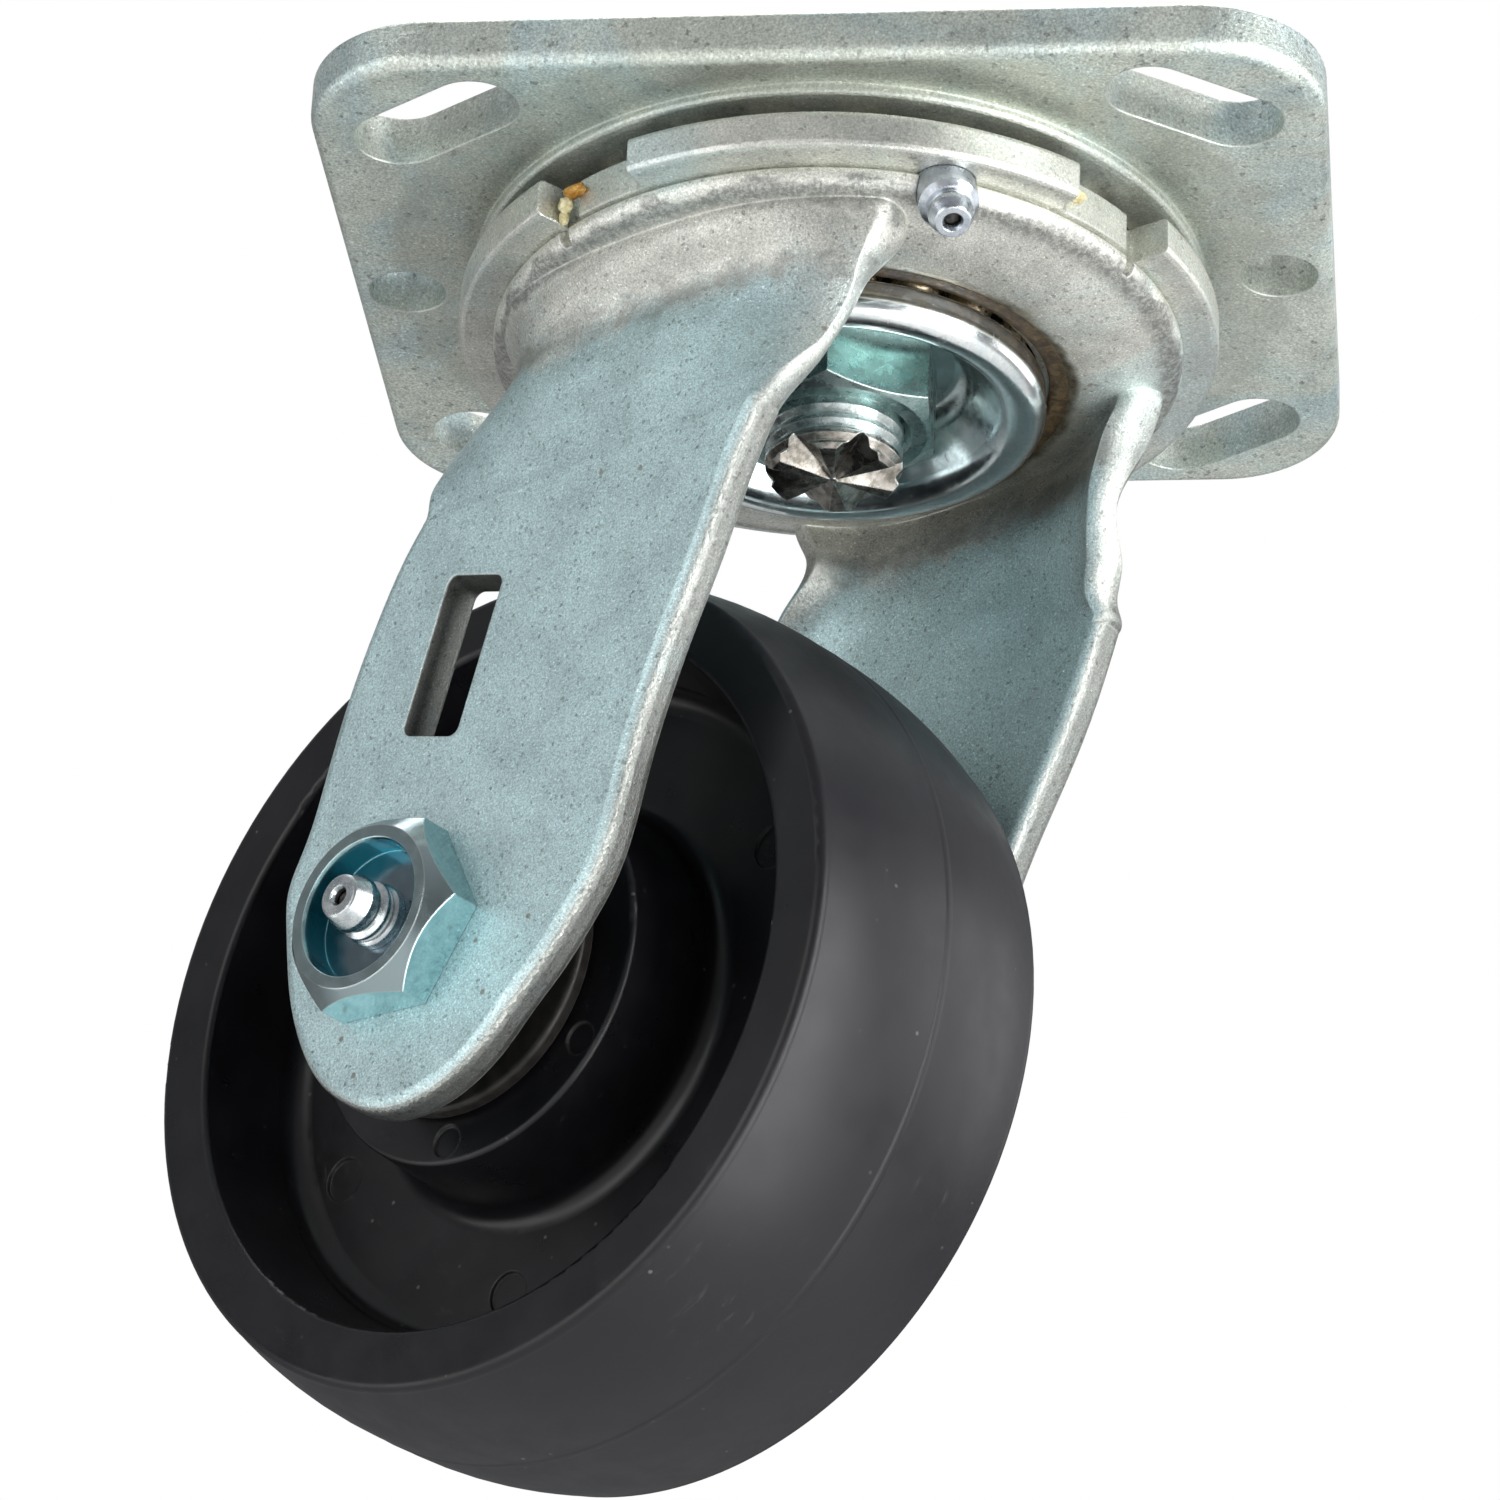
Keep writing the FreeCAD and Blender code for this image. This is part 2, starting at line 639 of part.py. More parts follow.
# ---------------------------------------------------------------- fork
# leg outline (y, z): down the trailing edge, round the foot and up the leading edge
LEG_EDGE = [
    (33.4, -43.0), (36.0, -46.9), (39.3, -53.6), (42.6, -61.9), (45.5, -71.8), (47.9, -79.4),
    (50.0, -84.9), (49.9, -88.6), (49.3, -93.4), (48.4, -98.4), (47.0, -102.8), (45.0, -107.0),
    (42.4, -110.5), (39.3, -113.1), (35.6, -115.2), (31.5, -116.2), (27.0, -115.8),
    (22.6, -114.2), (18.2, -111.2), (14.6, -107.6), (10.8, -104.0), (7.0, -99.6), (3.8, -95.0),
    (1.4, -89.0), (-0.3, -82.4), (-2.8, -74.6)]
# upper part of each leg's leading edge (y, z)
LEADING_EDGE = {
    "near": [(-6.0, -66.6), (-9.6, -58.4), (-12.6, -50.6), (-14.6, -46.2), (-16.3, -43.0)],
    "far": [(-6.6, -66.4), (-10.9, -58.4), (-14.0, -51.6), (-15.8, -46.8), (-17.1, -43.0)]}
# The crown's edge curls down into the leg. Each station: z, bulge of the leading end, then the
# outer and the inner face as (x, y) from the leading end to the trailing end, for the far leg.
CURL = [
    (-16.6, 1.8,
     [(26.0, -26.6), (31.0, -20.6), (34.6, -13.5), (37.2, 0), (36.6, 10), (33.9, 20.0), (27.6, 28.0)],
     [(21.5, -23.5), (26.0, -18.5), (29.5, -12.5), (31.5, 0), (31.2, 10), (29.0, 18.5), (24.2, 24.8)]),
    (-18.2, 1.8,
     [(26.5, -27.1), (31.3, -20.9), (34.7, -13.6), (36.8, 0), (36.3, 10), (33.6, 19.6), (27.4, 27.2)],
     [(21.0, -24.5), (25.8, -18.5), (28.9, -12.5), (30.4, 0), (30.4, 10), (28.7, 18.2), (24.1, 24.1)]),
    (-21.0, 1.6,
     [(26.65, -26.2), (31.1, -20.2), (34.2, -13.2), (36.4, 0), (35.8, 10), (33.2, 19.0), (27.3, 26.0)],
     [(20.8, -24.5), (25.4, -18.0), (28.2, -11.5), (29.2, 0), (29.4, 10), (28.5, 17.8), (24.1, 23.0)]),
    (-23.0, 1.2,
     [(26.6, -25.3), (30.6, -19.4), (32.8, -12.8), (34.8, 0), (34.7, 10), (32.7, 18.9), (27.3, 25.1)],
     [(21.2, -22.8), (25.0, -17.2), (27.4, -11.0), (28.7, 0), (28.8, 10), (28.0, 17.7), (24.1, 22.1)]),
    (-25.2, 0.8,
     [(26.3, -24.1), (29.9, -18.8), (32.0, -12.4), (33.4, -1), (33.7, 10), (32.3, 19.0), (27.2, 25.1)],
     [(22.0, -21.2), (24.9, -16.6), (27.2, -10.8), (28.6, -1), (28.7, 10), (27.9, 17.6), (24.0, 22.0)]),
    (-28.0, 0.6,
     [(25.6, -22.6), (29.4, -17.9), (31.8, -12.0), (33.25, -3), (33.45, 9), (32.5, 20.0), (27.6, 27.2)],
     [(22.5, -19.9), (25.0, -15.8), (27.2, -10.4), (28.65, -2), (28.7, 9), (28.0, 18.6), (24.1, 24.2)]),
    (-31.0, 0.6,
     [(26.0, -21.1), (29.6, -17.2), (31.9, -12.0), (33.25, -4), (33.4, 8), (32.9, 21.2), (28.8, 30.2)],
     [(23.4, -18.8), (25.6, -15.2), (27.4, -10.4), (28.65, -3), (28.7, 8), (28.2, 19.8), (24.9, 27.8)]),
    (-34.0, 0.6,
     [(27.5, -20.4), (30.6, -16.4), (32.4, -11.6), (33.3, -5), (33.32, 8), (33.2, 21.6), (30.6, 31.1)],
     [(24.5, -17.9), (26.6, -14.2), (27.9, -9.8), (28.65, -4), (28.65, 8), (28.4, 21.0), (26.4, 29.4)]),
    (-37.0, 1.0,
     [(29.8, -19.2), (31.9, -15.6), (32.95, -11.4), (33.3, -4.5), (33.3, 8), (33.3, 21.8), (32.1, 31.4)],
     [(26.0, -16.8), (27.6, -13.3), (28.4, -9.4), (28.6, -4), (28.6, 8), (28.6, 21.0), (27.6, 30.4)]),
    (-40.0, 1.2,
     [(31.9, -17.0), (32.9, -14.4), (33.24, -10.4), (33.3, -4.2), (33.3, 8), (33.3, 22.4), (33.12, 31.5)],
     [(27.5, -15.7), (28.3, -12.6), (28.56, -9.0), (28.6, -4), (28.6, 8), (28.6, 21.8), (28.42, 31.0)]),
    (-41.6, 1.35,
     [(32.9, -15.7), (33.2, -13.2), (33.3, -10.0), (33.3, -4), (33.3, 8), (33.3, 22.5), (33.25, 31.4)],
     [(28.25, -15.3), (28.5, -12.4), (28.6, -9.0), (28.6, -4), (28.6, 8), (28.6, 22.3), (28.55, 31.5)]),
    (-43.0, 1.3,
     [(33.3, -14.75), (33.3, -12.6), (33.3, -9.8), (33.3, -4), (33.3, 8), (33.3, 22.5), (33.3, 32.0)],
     [(28.6, -14.85), (28.6, -12.6), (28.6, -9.0), (28.6, -4), (28.6, 8), (28.6, 22.5), (28.6, 32.2)]),
]
FAR_LEAD_SHIFT = 0.8     # the far leg reaches this much further forward at the lowest stations
CRIMP_ANGLES = (167.8, 274.2, 347.8, 94.2)


def curl_face(points, sign, lead_shift):
    """One face of a curl station, on the near (-1) or the far (1) side."""
    (x, y), rest = points[0], points[1:]
    return [(px * sign, py) for px, py in [(x, y - lead_shift)] + rest]


def add_leg(body, side, sign):
    thick = dim.leg_thick
    sketch = new_sketch(body, side + "_leg_outline", "YZ_Plane",
                        -LEG_OUTER if sign < 0 else dim.leg_inner)
    smooth_loop(sketch, LEG_EDGE + LEADING_EDGE[side])
    pad(body, side + "_leg", sketch, thick)
    for label, face, radius in (("outer", LEG_OUTER, 1.6), ("inner", dim.leg_inner, 1.5)):
        x = float(face) * sign
        # the outline's spline reaches below z = -60, its closing line doesn't
        fillet(body, "%s_leg_%s_round" % (side, label),
               lambda edge: abs(edge.BoundBox.XMin - x) < 1e-4
               and abs(edge.BoundBox.XMax - x) < 1e-4 and edge.BoundBox.ZMin < -60, radius)

    sections = []
    for i, (z, lead_bulge, outer, inner) in enumerate(CURL):
        shift = FAR_LEAD_SHIFT if side == "far" and z < -41 else 0
        sketch = new_sketch(body, "%s_curl_%d" % (side, i + 1), "XY_Plane", z)
        strip(sketch, curl_face(outer, sign, shift), curl_face(inner, sign, shift), lead_bulge,
              trail_bulge=0.8 if z > -36 else 1.3)
        sections.append(sketch)
    loft(body, side + "_curl", sections)


def cut_leg_windows(body):
    """Slanted window with rounded corners in each leg."""
    centre_y, centre_z = 26.4, -61.9
    tilt = math.radians(17.1)
    half_width, half_length, corner = 4.3, 9.8, 1.3

    def place(across, down):
        return (centre_y + math.cos(tilt) * across + math.sin(tilt) * down,
                centre_z + math.sin(tilt) * across - math.cos(tilt) * down)

    points = []
    for sa, sd in ((1, 1), (-1, 1), (-1, -1), (1, -1)):
        on_side = place(sa * half_width, sd * (half_length - corner))
        on_end = place(sa * (half_width - corner), sd * half_length)
        middle = place(sa * (half_width - corner * ARC_MID), sd * (half_length - corner * ARC_MID))
        first, second = (on_side, on_end) if sa * sd > 0 else (on_end, on_side)
        points += [first + (middle,), second]
    sketch = new_sketch(body, "window_outline", "YZ_Plane")
    loop(sketch, points)
    pocket(body, "windows", sketch, 90.0, both=True)


def make_fork():
    body = new_piece("fork")
    rim, hole = dim.crown_rad, dim.crown_hole
    top, bottom = dim.disc_bottom, dim.crown_bottom
    revolve(body, "crown", [
        (hole, top), (rim - 0.4, top), (rim, top - 0.4), (rim, -16.2, (39.5, -17.1)),
        (38.5, -17.7), (35.0, -18.75, (31.0, -19.8)),
        (28.2, bottom + 0.3, (26.7, bottom + 0.65)), (hole, bottom + 1.9)])
    for side, sign in SIDES:
        add_leg(body, side, sign)

    # crimps in the crown's edge under the ends of the rim notches
    sketch = new_sketch(body, "crimp_outline", "XY_Plane", -14.0)
    for i, angle in enumerate(CRIMP_ANGLES):
        loop(sketch, [polar_point(37.9, angle), polar_point(42.0, angle + 2.4),
                      polar_point(42.0, angle - 2.4)], tag="v%d" % i)
    pocket(body, "crimps", sketch, 3.4)
    cut_leg_windows(body)
    sketch = new_sketch(body, "axle_hole_outline", "YZ_Plane")
    circle(sketch, dim.axle_lead, dim.axle_z, dim.axle_hole)
    pocket(body, "axle_holes", sketch, 90.0, both=True)
    swivelled(body)
    return body


# ---------------------------------------------------------------- axle bolt and lock nut
def make_axle_bolt():
    body = new_piece("axle_bolt")
    half_flats = dim.head_flats / 2
    sketch = new_sketch(body, "head_outline", "YZ_Plane", HEAD_SEAT)
    loop(sketch, hexagon(half_flats, 4.0))
    pad(body, "head", sketch, dim.head_high, reverse=True)
    corner = corner_radius(half_flats)
    revolve(body, "head_chamfer", [
        (HEAD_FACE + 2.8, corner + 0.3), (HEAD_FACE - 0.6, corner + 0.3),
        (HEAD_FACE - 0.6, half_flats - 1.35), (HEAD_FACE, half_flats - 0.75)],
        axis=ALONG_X, cut=True)

    radius, end = dim.axle_rad, dim.axle_end
    revolve(body, "shank", [(HEAD_SEAT - 1, 0), (HEAD_SEAT - 1, radius), (end - 1.0, radius),
                            (end, radius - 1.0), (end, 0)], axis=ALONG_X)
    bore, floor = dim.head_bore, HEAD_FACE + dim.head_bore_deep
    revolve(body, "counterbore", [
        (HEAD_FACE - 0.2, 0), (HEAD_FACE - 0.2, bore + 0.3), (HEAD_FACE + 0.35, bore),
        (floor, bore), (floor, 0)], axis=ALONG_X, cut=True)

    # grease passage: wide for the fitting, then narrow to just past the cross hole
    step, wide, passage, passage_end = HEAD_FACE + 9.0, 2.4, dim.grease_rad, 2.0
    revolve(body, "grease_passage", [
        (HEAD_FACE, 0), (HEAD_FACE, wide), (step, wide), (step, passage),
        (passage_end, passage), (passage_end, 0)], axis=ALONG_X, cut=True)
    sketch = new_sketch(body, "cross_hole_outline", "XZ_Plane")
    circle(sketch, CROSS_HOLE_X, 0, 1.2)
    pocket(body, "cross_hole", sketch, 20.0, both=True)

    # thread shown as plain rings
    thread_start, pitch = 35.2, 1.95
    for i in range(5):
        x = thread_start + pitch * i
        revolve(body, "axle_thread_%d" % (i + 1), [
            (x, radius + 0.2), (x + 0.85, radius - 0.6), (x + 1.05, radius - 0.6),
            (x + 1.85, radius + 0.2)], axis=ALONG_X, cut=True)
    on_axle(body)


NUT_HEX_LENGTH = 8.6
NUT_BORE = 6.39


def make_axle_nut():
    body = new_piece("axle_nut")
    half_flats = dim.locknut_flats / 2
    sketch = new_sketch(body, "hex_outline", "YZ_Plane", NUT_SEAT)
    loop(sketch, hexagon(half_flats, 11.0))
    pad(body, "hex", sketch, NUT_HEX_LENGTH)
    corner = corner_radius(half_flats)
    hex_end = NUT_SEAT + NUT_HEX_LENGTH
    revolve(body, "corner_chamfer", [
        (NUT_SEAT + 7.3, corner + 0.4), (NUT_SEAT + 9.0, corner + 0.4),
        (NUT_SEAT + 9.0, half_flats - 1.0), (hex_end, half_flats - 0.4)],
        axis=ALONG_X, cut=True)
    revolve(body, "collar", [
        (NUT_SEAT + 8.0, 7.0), (NUT_SEAT + 8.0, 9.0), (NUT_SEAT + 11.2, 8.6),
        (NUT_SEAT + 11.8, 8.0), (NUT_SEAT + 11.8, 7.0)], axis=ALONG_X)
    # bore with the groove that holds the insert
    revolve(body, "bore", [
        (NUT_SEAT - 1, 0), (NUT_SEAT - 1, NUT_BORE), (hex_end, NUT_BORE), (hex_end, 7.7),
        (NUT_SEAT + 11.3, 7.7), (NUT_SEAT + 11.3, 7.0), (NUT_SEAT + 13, 7.0),
        (NUT_SEAT + 13, 0)], axis=ALONG_X, cut=True)
    on_axle(body)


def make_axle_nut_insert():
    """Nylon ring of the lock nut."""
    body = new_piece("axle_nut_insert")
    start, end, outer = NUT_SEAT + 8.65, NUT_SEAT + 11.25, 7.66
    revolve(body, "ring", [(start, NUT_BORE), (start, outer), (end, outer), (end, NUT_BORE)],
            axis=ALONG_X)
    on_axle(body)


# ---------------------------------------------------------------- hub stack
def revolve_tube(body, inner, outer, half, chamfer):
    """Tube along X with chamfered outer ends."""
    revolve(body, "tube", [
        (-half, inner), (-half, outer - chamfer), (-half + chamfer, outer),
        (half - chamfer, outer), (half, outer - chamfer), (half, inner)], axis=ALONG_X)


def make_axle_sleeve():
    """Spanner bushing."""
    body = new_piece("axle_sleeve")
    revolve_tube(body, dim.sleeve_in, dim.sleeve_out, dim.sleeve_half, 0.4)
    sketch = new_sketch(body, "grease_hole_outline", "XZ_Plane")
    circle(sketch, CROSS_HOLE_X, 0, 1.6)
    pocket(body, "grease_hole", sketch, 24.0, both=True)
    on_axle(body)


def make_hub_washer(side, sign):
    body = new_piece("hub_washer_" + side)
    face, flange, neck = dim.washer_face, dim.washer_rad, dim.washer_neck
    back = face + dim.washer_thick
    bore, end = dim.sleeve_out + 0.05, dim.sleeve_half
    revolve(body, "flanged_washer", [
        (face * sign, bore), (face * sign, flange - 0.5), ((face + 0.5) * sign, flange),
        ((back - 0.7) * sign, flange, ((back - 0.2) * sign, flange - 0.2)),
        (back * sign, flange - 0.7), (back * sign, neck), (end * sign, neck),
        (end * sign, bore)], axis=ALONG_X)
    on_axle(body)


def make_bearing_sleeve():
    body = new_piece("bearing_sleeve")
    revolve_tube(body, dim.race_in, dim.race_out, dim.race_half, 0.3)
    on_axle(body)


def make_roller_cage():
    body = new_piece("roller_cage")
    half, inner, outer = 18.0, 10.3, 12.4
    revolve(body, "tube", [(-half, inner), (-half, outer), (half, outer), (half, inner)],
            axis=ALONG_X)
    slot_x, slot_y = 15.2, 2.1
    sketch = new_sketch(body, "pocket_outline", "XY_Plane")
    loop(sketch, [(-slot_x, -slot_y), (slot_x, -slot_y), (slot_x, slot_y), (-slot_x, slot_y)])
    window = pocket(body, "roller_pocket", sketch, 20.0, reverse=True)
    polar(body, "roller_pockets", window, dim.roller_count, "X_Axis")
    on_axle(body)


def make_rollers():
    """Rollers, one piece of separate solids."""
    pitch, half = float(dim.roller_pitch), float(dim.roller_half)
    count = int(float(dim.roller_count))
    rollers = []
    for i in range(count):
        angle = 2 * math.pi * i / count
        start = V(-half, pitch * math.sin(angle), pitch * math.cos(angle))
        roller = Part.makeCylinder(float(dim.roller_rad), 2 * half, start, V(1, 0, 0))
        rims = [e for e in roller.Edges if isinstance(e.Curve, Part.Circle)]
        rollers.append(roller.makeChamfer(0.25, rims).Solids[0])
    piece = new_piece("bearing_rollers", "Part::Feature")
    piece.Shape = Part.makeCompound(rollers)
    on_axle(piece)


# ---------------------------------------------------------------- wheel
def make_wheel():
    body = new_piece("wheel")
    tread, edge, face = dim.wheel_rad, dim.tread_edge_rad, dim.tread_half
    recess, recess_floor, web = dim.recess_rad, dim.recess_floor_rad, dim.web_half
    hub_end, hub_root, hub = dim.hub_end_rad, dim.hub_root_rad, dim.hub_half
    # the -X half of the section, from the bore to a thin raised line round the tread's middle
    half = [
        (-hub, dim.race_out),
        (-hub, hub_end - 0.6, (-hub + 0.18, hub_end - 0.18)),
        (-hub + 0.6, hub_end),
        (-web - 2.6, hub_root, (-web - 0.8, hub_root + 0.75)),
        (-web, hub_root + 2.6),
        (-web, recess_floor - 2.8, (-web - 0.85, recess_floor - 0.8)),
        (-web - 2.8, recess_floor),
        (-face + 0.8, recess - 0.2, (-face + 0.2, recess)),
        (-face, recess + 0.6),
        (-face, edge - 1.2, (-face + 0.3, edge - 0.35)),
        (-face + 1.1, edge, (-face * 0.5, tread - 0.42)),
        (-0.55, tread),
        (-0.2, tread + 0.09),
    ]
    mirrored = []
    for i in reversed(range(len(half))):
        point = (-half[i][0], half[i][1])
        # going backwards, an arc belongs to the point at its other end
        if i > 0 and len(half[i - 1]) == 3:
            middle = half[i - 1][2]
            point += ((-middle[0], middle[1]),)
        mirrored.append(point)
    revolve(body, "wheel_solid", half + mirrored, axis=ALONG_X)

    # ejector pin marks in the web and hub end, six each
    mark_angle, mark_depth = 158.0, 0.35
    for label, ring, level, radius in (("web_mark", 33.2, web, 2.6), ("hub_mark", 20.2, hub, 1.9)):
        y, z = polar_point(ring, mark_angle)
        for side, sign in SIDES:
            name = "%s_%s" % (label, side)
            sketch = new_sketch(body, name + "_outline", "YZ_Plane", level * sign)
            circle(sketch, y, z, radius)
            mark = pocket(body, name, sketch, mark_depth, reverse=(sign < 0))
            polar(body, "%ss_%s" % (label, side), mark, 6, "X_Axis")
    on_axle(body)


# ---------------------------------------------------------------- balls, one piece per race
def make_balls(label, race):
    ring, height, radius, count = [float(value) for value in race]
    balls = []
    for i in range(int(count)):
        x, y = polar_point(ring, 360.0 * i / count)
        balls.append(Part.makeSphere(radius, V(x, y, height)))
    new_piece(label, "Part::Feature").Shape = Part.makeCompound(balls)


# ---------------------------------------------------------------- grease fittings
# outer profiles (radius, height above the seat), from the shank to the nozzle
SWIVEL_FITTING_TOP = 6.6
SWIVEL_FITTING = [
    (2.3, -1.2), (dim.fitting_drive_rad, -1.2), (dim.fitting_drive_rad, 2.9),
    (dim.fitting_drive_rad - 0.7, 3.5), (2.2, 3.6), (2.15, 4.0), (2.6, 4.5), (2.6, 5.2),
    (2.1, 6.4), (1.95, SWIVEL_FITTING_TOP)]
AXLE_FITTING_TOP = 6.8
AXLE_FITTING = [
    (2.3, 0.0), (3.7, 0.0), (3.7, 0.9), (3.45, 1.1), (3.15, 1.3), (3.45, 1.5), (3.15, 1.75),
    (3.45, 2.0), (3.45, 2.4), (2.75, 2.8), (2.7, 3.2), (3.0, 3.6), (3.25, 3.9), (3.25, 4.7),
    (2.55, 6.6), (2.3, AXLE_FITTING_TOP)]

# The swivel fitting points steeply down and out of the crown, between the legs, towards the
# leading side.
FITTING_AZIMUTH = math.radians(292.8)
FITTING_DIP = math.radians(64.0)
FITTING_DIRECTION = V(math.cos(FITTING_AZIMUTH) * math.cos(FITTING_DIP),
                      math.sin(FITTING_AZIMUTH) * math.cos(FITTING_DIP), -math.sin(FITTING_DIP))
FITTING_SEAT = V(float(dim.fitting_seat_rad) * math.cos(FITTING_AZIMUTH),
                 float(dim.fitting_seat_rad) * math.sin(FITTING_AZIMUTH),
                 float(dim.fitting_seat_z))


def make_fitting(prefix, outline, top, seat, direction):
    """A grease fitting drawn along +Z from its seat at z = 0 to its nozzle at z = top, with its
    check ball and spring."""
    place = FreeCAD.Placement(seat, FreeCAD.Rotation(V(0, 0, 1), direction))
    body = new_piece(prefix)
    revolve(body, "fitting_body", [(1.0, -4.0), (2.3, -4.0)] + outline + [
        (1.2, top), (0.95, top - 0.5), (0.95, top - 1.0), (1.45, top - 1.5), (1.45, 1.0),
        (1.0, 1.0)])
    body.Placement = place

    ball = new_piece(prefix + "_ball", "Part::Sphere")
    ball.Radius = float(dim.check_ball_rad)
    bind(ball, "Radius", dim.check_ball_rad)
    ball.Placement = place.multiply(FreeCAD.Placement(V(0, 0, top - 1.95), FreeCAD.Rotation()))

    coil_rad, wire_rad, coil_pitch, coil_height = 0.92, 0.16, 0.62, 1.9
    helix = Part.makeHelix(coil_pitch, coil_height, coil_rad)
    section = Part.Wire([Part.Edge(Part.Circle(V(coil_rad, 0, 0), V(0, 1, 0), wire_rad))])
    coil = Part.Wire(helix.Edges).makePipeShell([section], True, True)
    coil.translate(V(0, 0, top - 5.35))
    spring = new_piece(prefix + "_spring", "Part::Feature")
    spring.Shape = coil
    spring.Placement = place


def cut_fitting_seats(fork, disc):
    """Seats for the swivel fitting in the crown and the raceway disc, and its grease passage to
    the upper race."""
    local = FreeCAD.Placement(V(0, 0, 0), FreeCAD.Rotation(V(0, 0, 1), -float(dim.swivel_angle)))
    seat, direction = local.multVec(FITTING_SEAT), local.multVec(FITTING_DIRECTION)
    # name, start along the fitting from its seat, radius, depth
    seat_cut = ("fitting_seat", -1.22, dim.fitting_drive_rad + 0.05, 14.0)
    bore_cut = ("fitting_bore", -4.05, 2.35, 6.0)
    passage_cut = ("grease_passage", -9.0, 0.9, 6.0)
    for body, cuts in ((fork, (seat_cut, bore_cut)), (disc, (seat_cut, bore_cut, passage_cut))):
        for name, start, radius, depth in cuts:
            before = volume_of(body)
            sketch = new_sketch(body, name + "_outline", "XY_Plane")
            sketch.AttachmentOffset = FreeCAD.Placement(
                seat + direction * start, FreeCAD.Rotation(V(0, 0, 1), direction))
            circle(sketch, 0, 0, radius)
            feature = body.newObject("PartDesign::Pocket", name)
            feature.Profile = sketch
            feature.Length = depth
            feature.Reversed = True
            finish(body, feature)
            check_change(body, name, before)


# ---------------------------------------------------------------- build, check and export
make_top_plate()
make_kingpin()
make_kingpin_nut()
make_cup_washer()
raceway_disc = make_raceway_disc()
caster_fork = make_fork()
make_axle_bolt()
make_axle_nut()
make_axle_nut_insert()
make_axle_sleeve()
for side_name, side_sign in SIDES:
    make_hub_washer(side_name, side_sign)
make_bearing_sleeve()
make_roller_cage()
make_rollers()
make_wheel()
make_balls("upper_balls", UPPER_RACE)
make_balls("lower_balls", LOWER_RACE)
make_fitting("swivel_fitting", SWIVEL_FITTING, SWIVEL_FITTING_TOP, FITTING_SEAT,
             FITTING_DIRECTION)
# the axle fitting sits in the counterbore of the axle head and points out of it
counterbore_floor = float(HEAD_FACE + dim.head_bore_deep) - SEAT_GAP
make_fitting("axle_fitting", AXLE_FITTING, AXLE_FITTING_TOP,
             AXLE_CENTRE + AXLE_DIRECTION * counterbore_floor, AXLE_DIRECTION * -1)
cut_fitting_seats(caster_fork, raceway_disc)

doc.recompute()
bad = ["%s %s" % (o.Name, o.State) for o in doc.Objects
       if "Invalid" in o.State or "Error" in o.State]
bad += [piece.Label + " shape" for piece in pieces
        if piece.Shape.isNull() or not piece.Shape.isValid()]
if bad:
    raise RuntimeError("failed: " + "; ".join(bad))
os.makedirs("parts", exist_ok=True)
for piece in pieces:
    piece.Shape.exportStep("parts/%s.step" % piece.Label)
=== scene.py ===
"""Swivel caster: zinc-plated top plate and fork over a near-black wheel.

The swivel axis is the Z axis, with the plate on top and the wheel hanging below it. The fork
is turned about Z, so the axle lies level at SWIVEL from +X. The camera looks up from the -Y side.
Scene units are metres. The material helpers take lengths in millimetres.
"""
import math
import random
from functools import cached_property, partial

import bmesh
import bpy
from mathutils import Matrix, Vector, noise as mnoise


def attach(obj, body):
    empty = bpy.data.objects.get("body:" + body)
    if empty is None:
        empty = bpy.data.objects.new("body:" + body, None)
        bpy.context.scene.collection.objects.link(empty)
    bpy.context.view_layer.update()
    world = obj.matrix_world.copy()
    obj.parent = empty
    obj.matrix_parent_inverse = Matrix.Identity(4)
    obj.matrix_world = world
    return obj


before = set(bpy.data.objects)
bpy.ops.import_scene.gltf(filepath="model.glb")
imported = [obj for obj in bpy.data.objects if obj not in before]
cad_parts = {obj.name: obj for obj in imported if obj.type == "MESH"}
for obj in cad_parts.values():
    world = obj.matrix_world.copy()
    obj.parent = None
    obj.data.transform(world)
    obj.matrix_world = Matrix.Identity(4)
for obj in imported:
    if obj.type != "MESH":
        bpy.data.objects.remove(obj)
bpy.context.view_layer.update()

random.seed(7)

UP = Vector((0, 0, 1))
SWIVEL = math.radians(56.6)
AXLE_DIR = Vector((math.cos(SWIVEL), math.sin(SWIVEL), 0.0))
TRAIL_DIR = Vector((-math.sin(SWIVEL), math.cos(SWIVEL), 0.0))
TRAIL = 0.0322
AXLE_DROP = 0.0941
AXLE_AT = TRAIL_DIR * TRAIL + Vector((0, 0, -AXLE_DROP))

# lines that radii are measured from: a point and a direction
SWIVEL_LINE = (Vector((0, 0, 0)), UP)
AXLE_LINE = (AXLE_AT, AXLE_DIR)


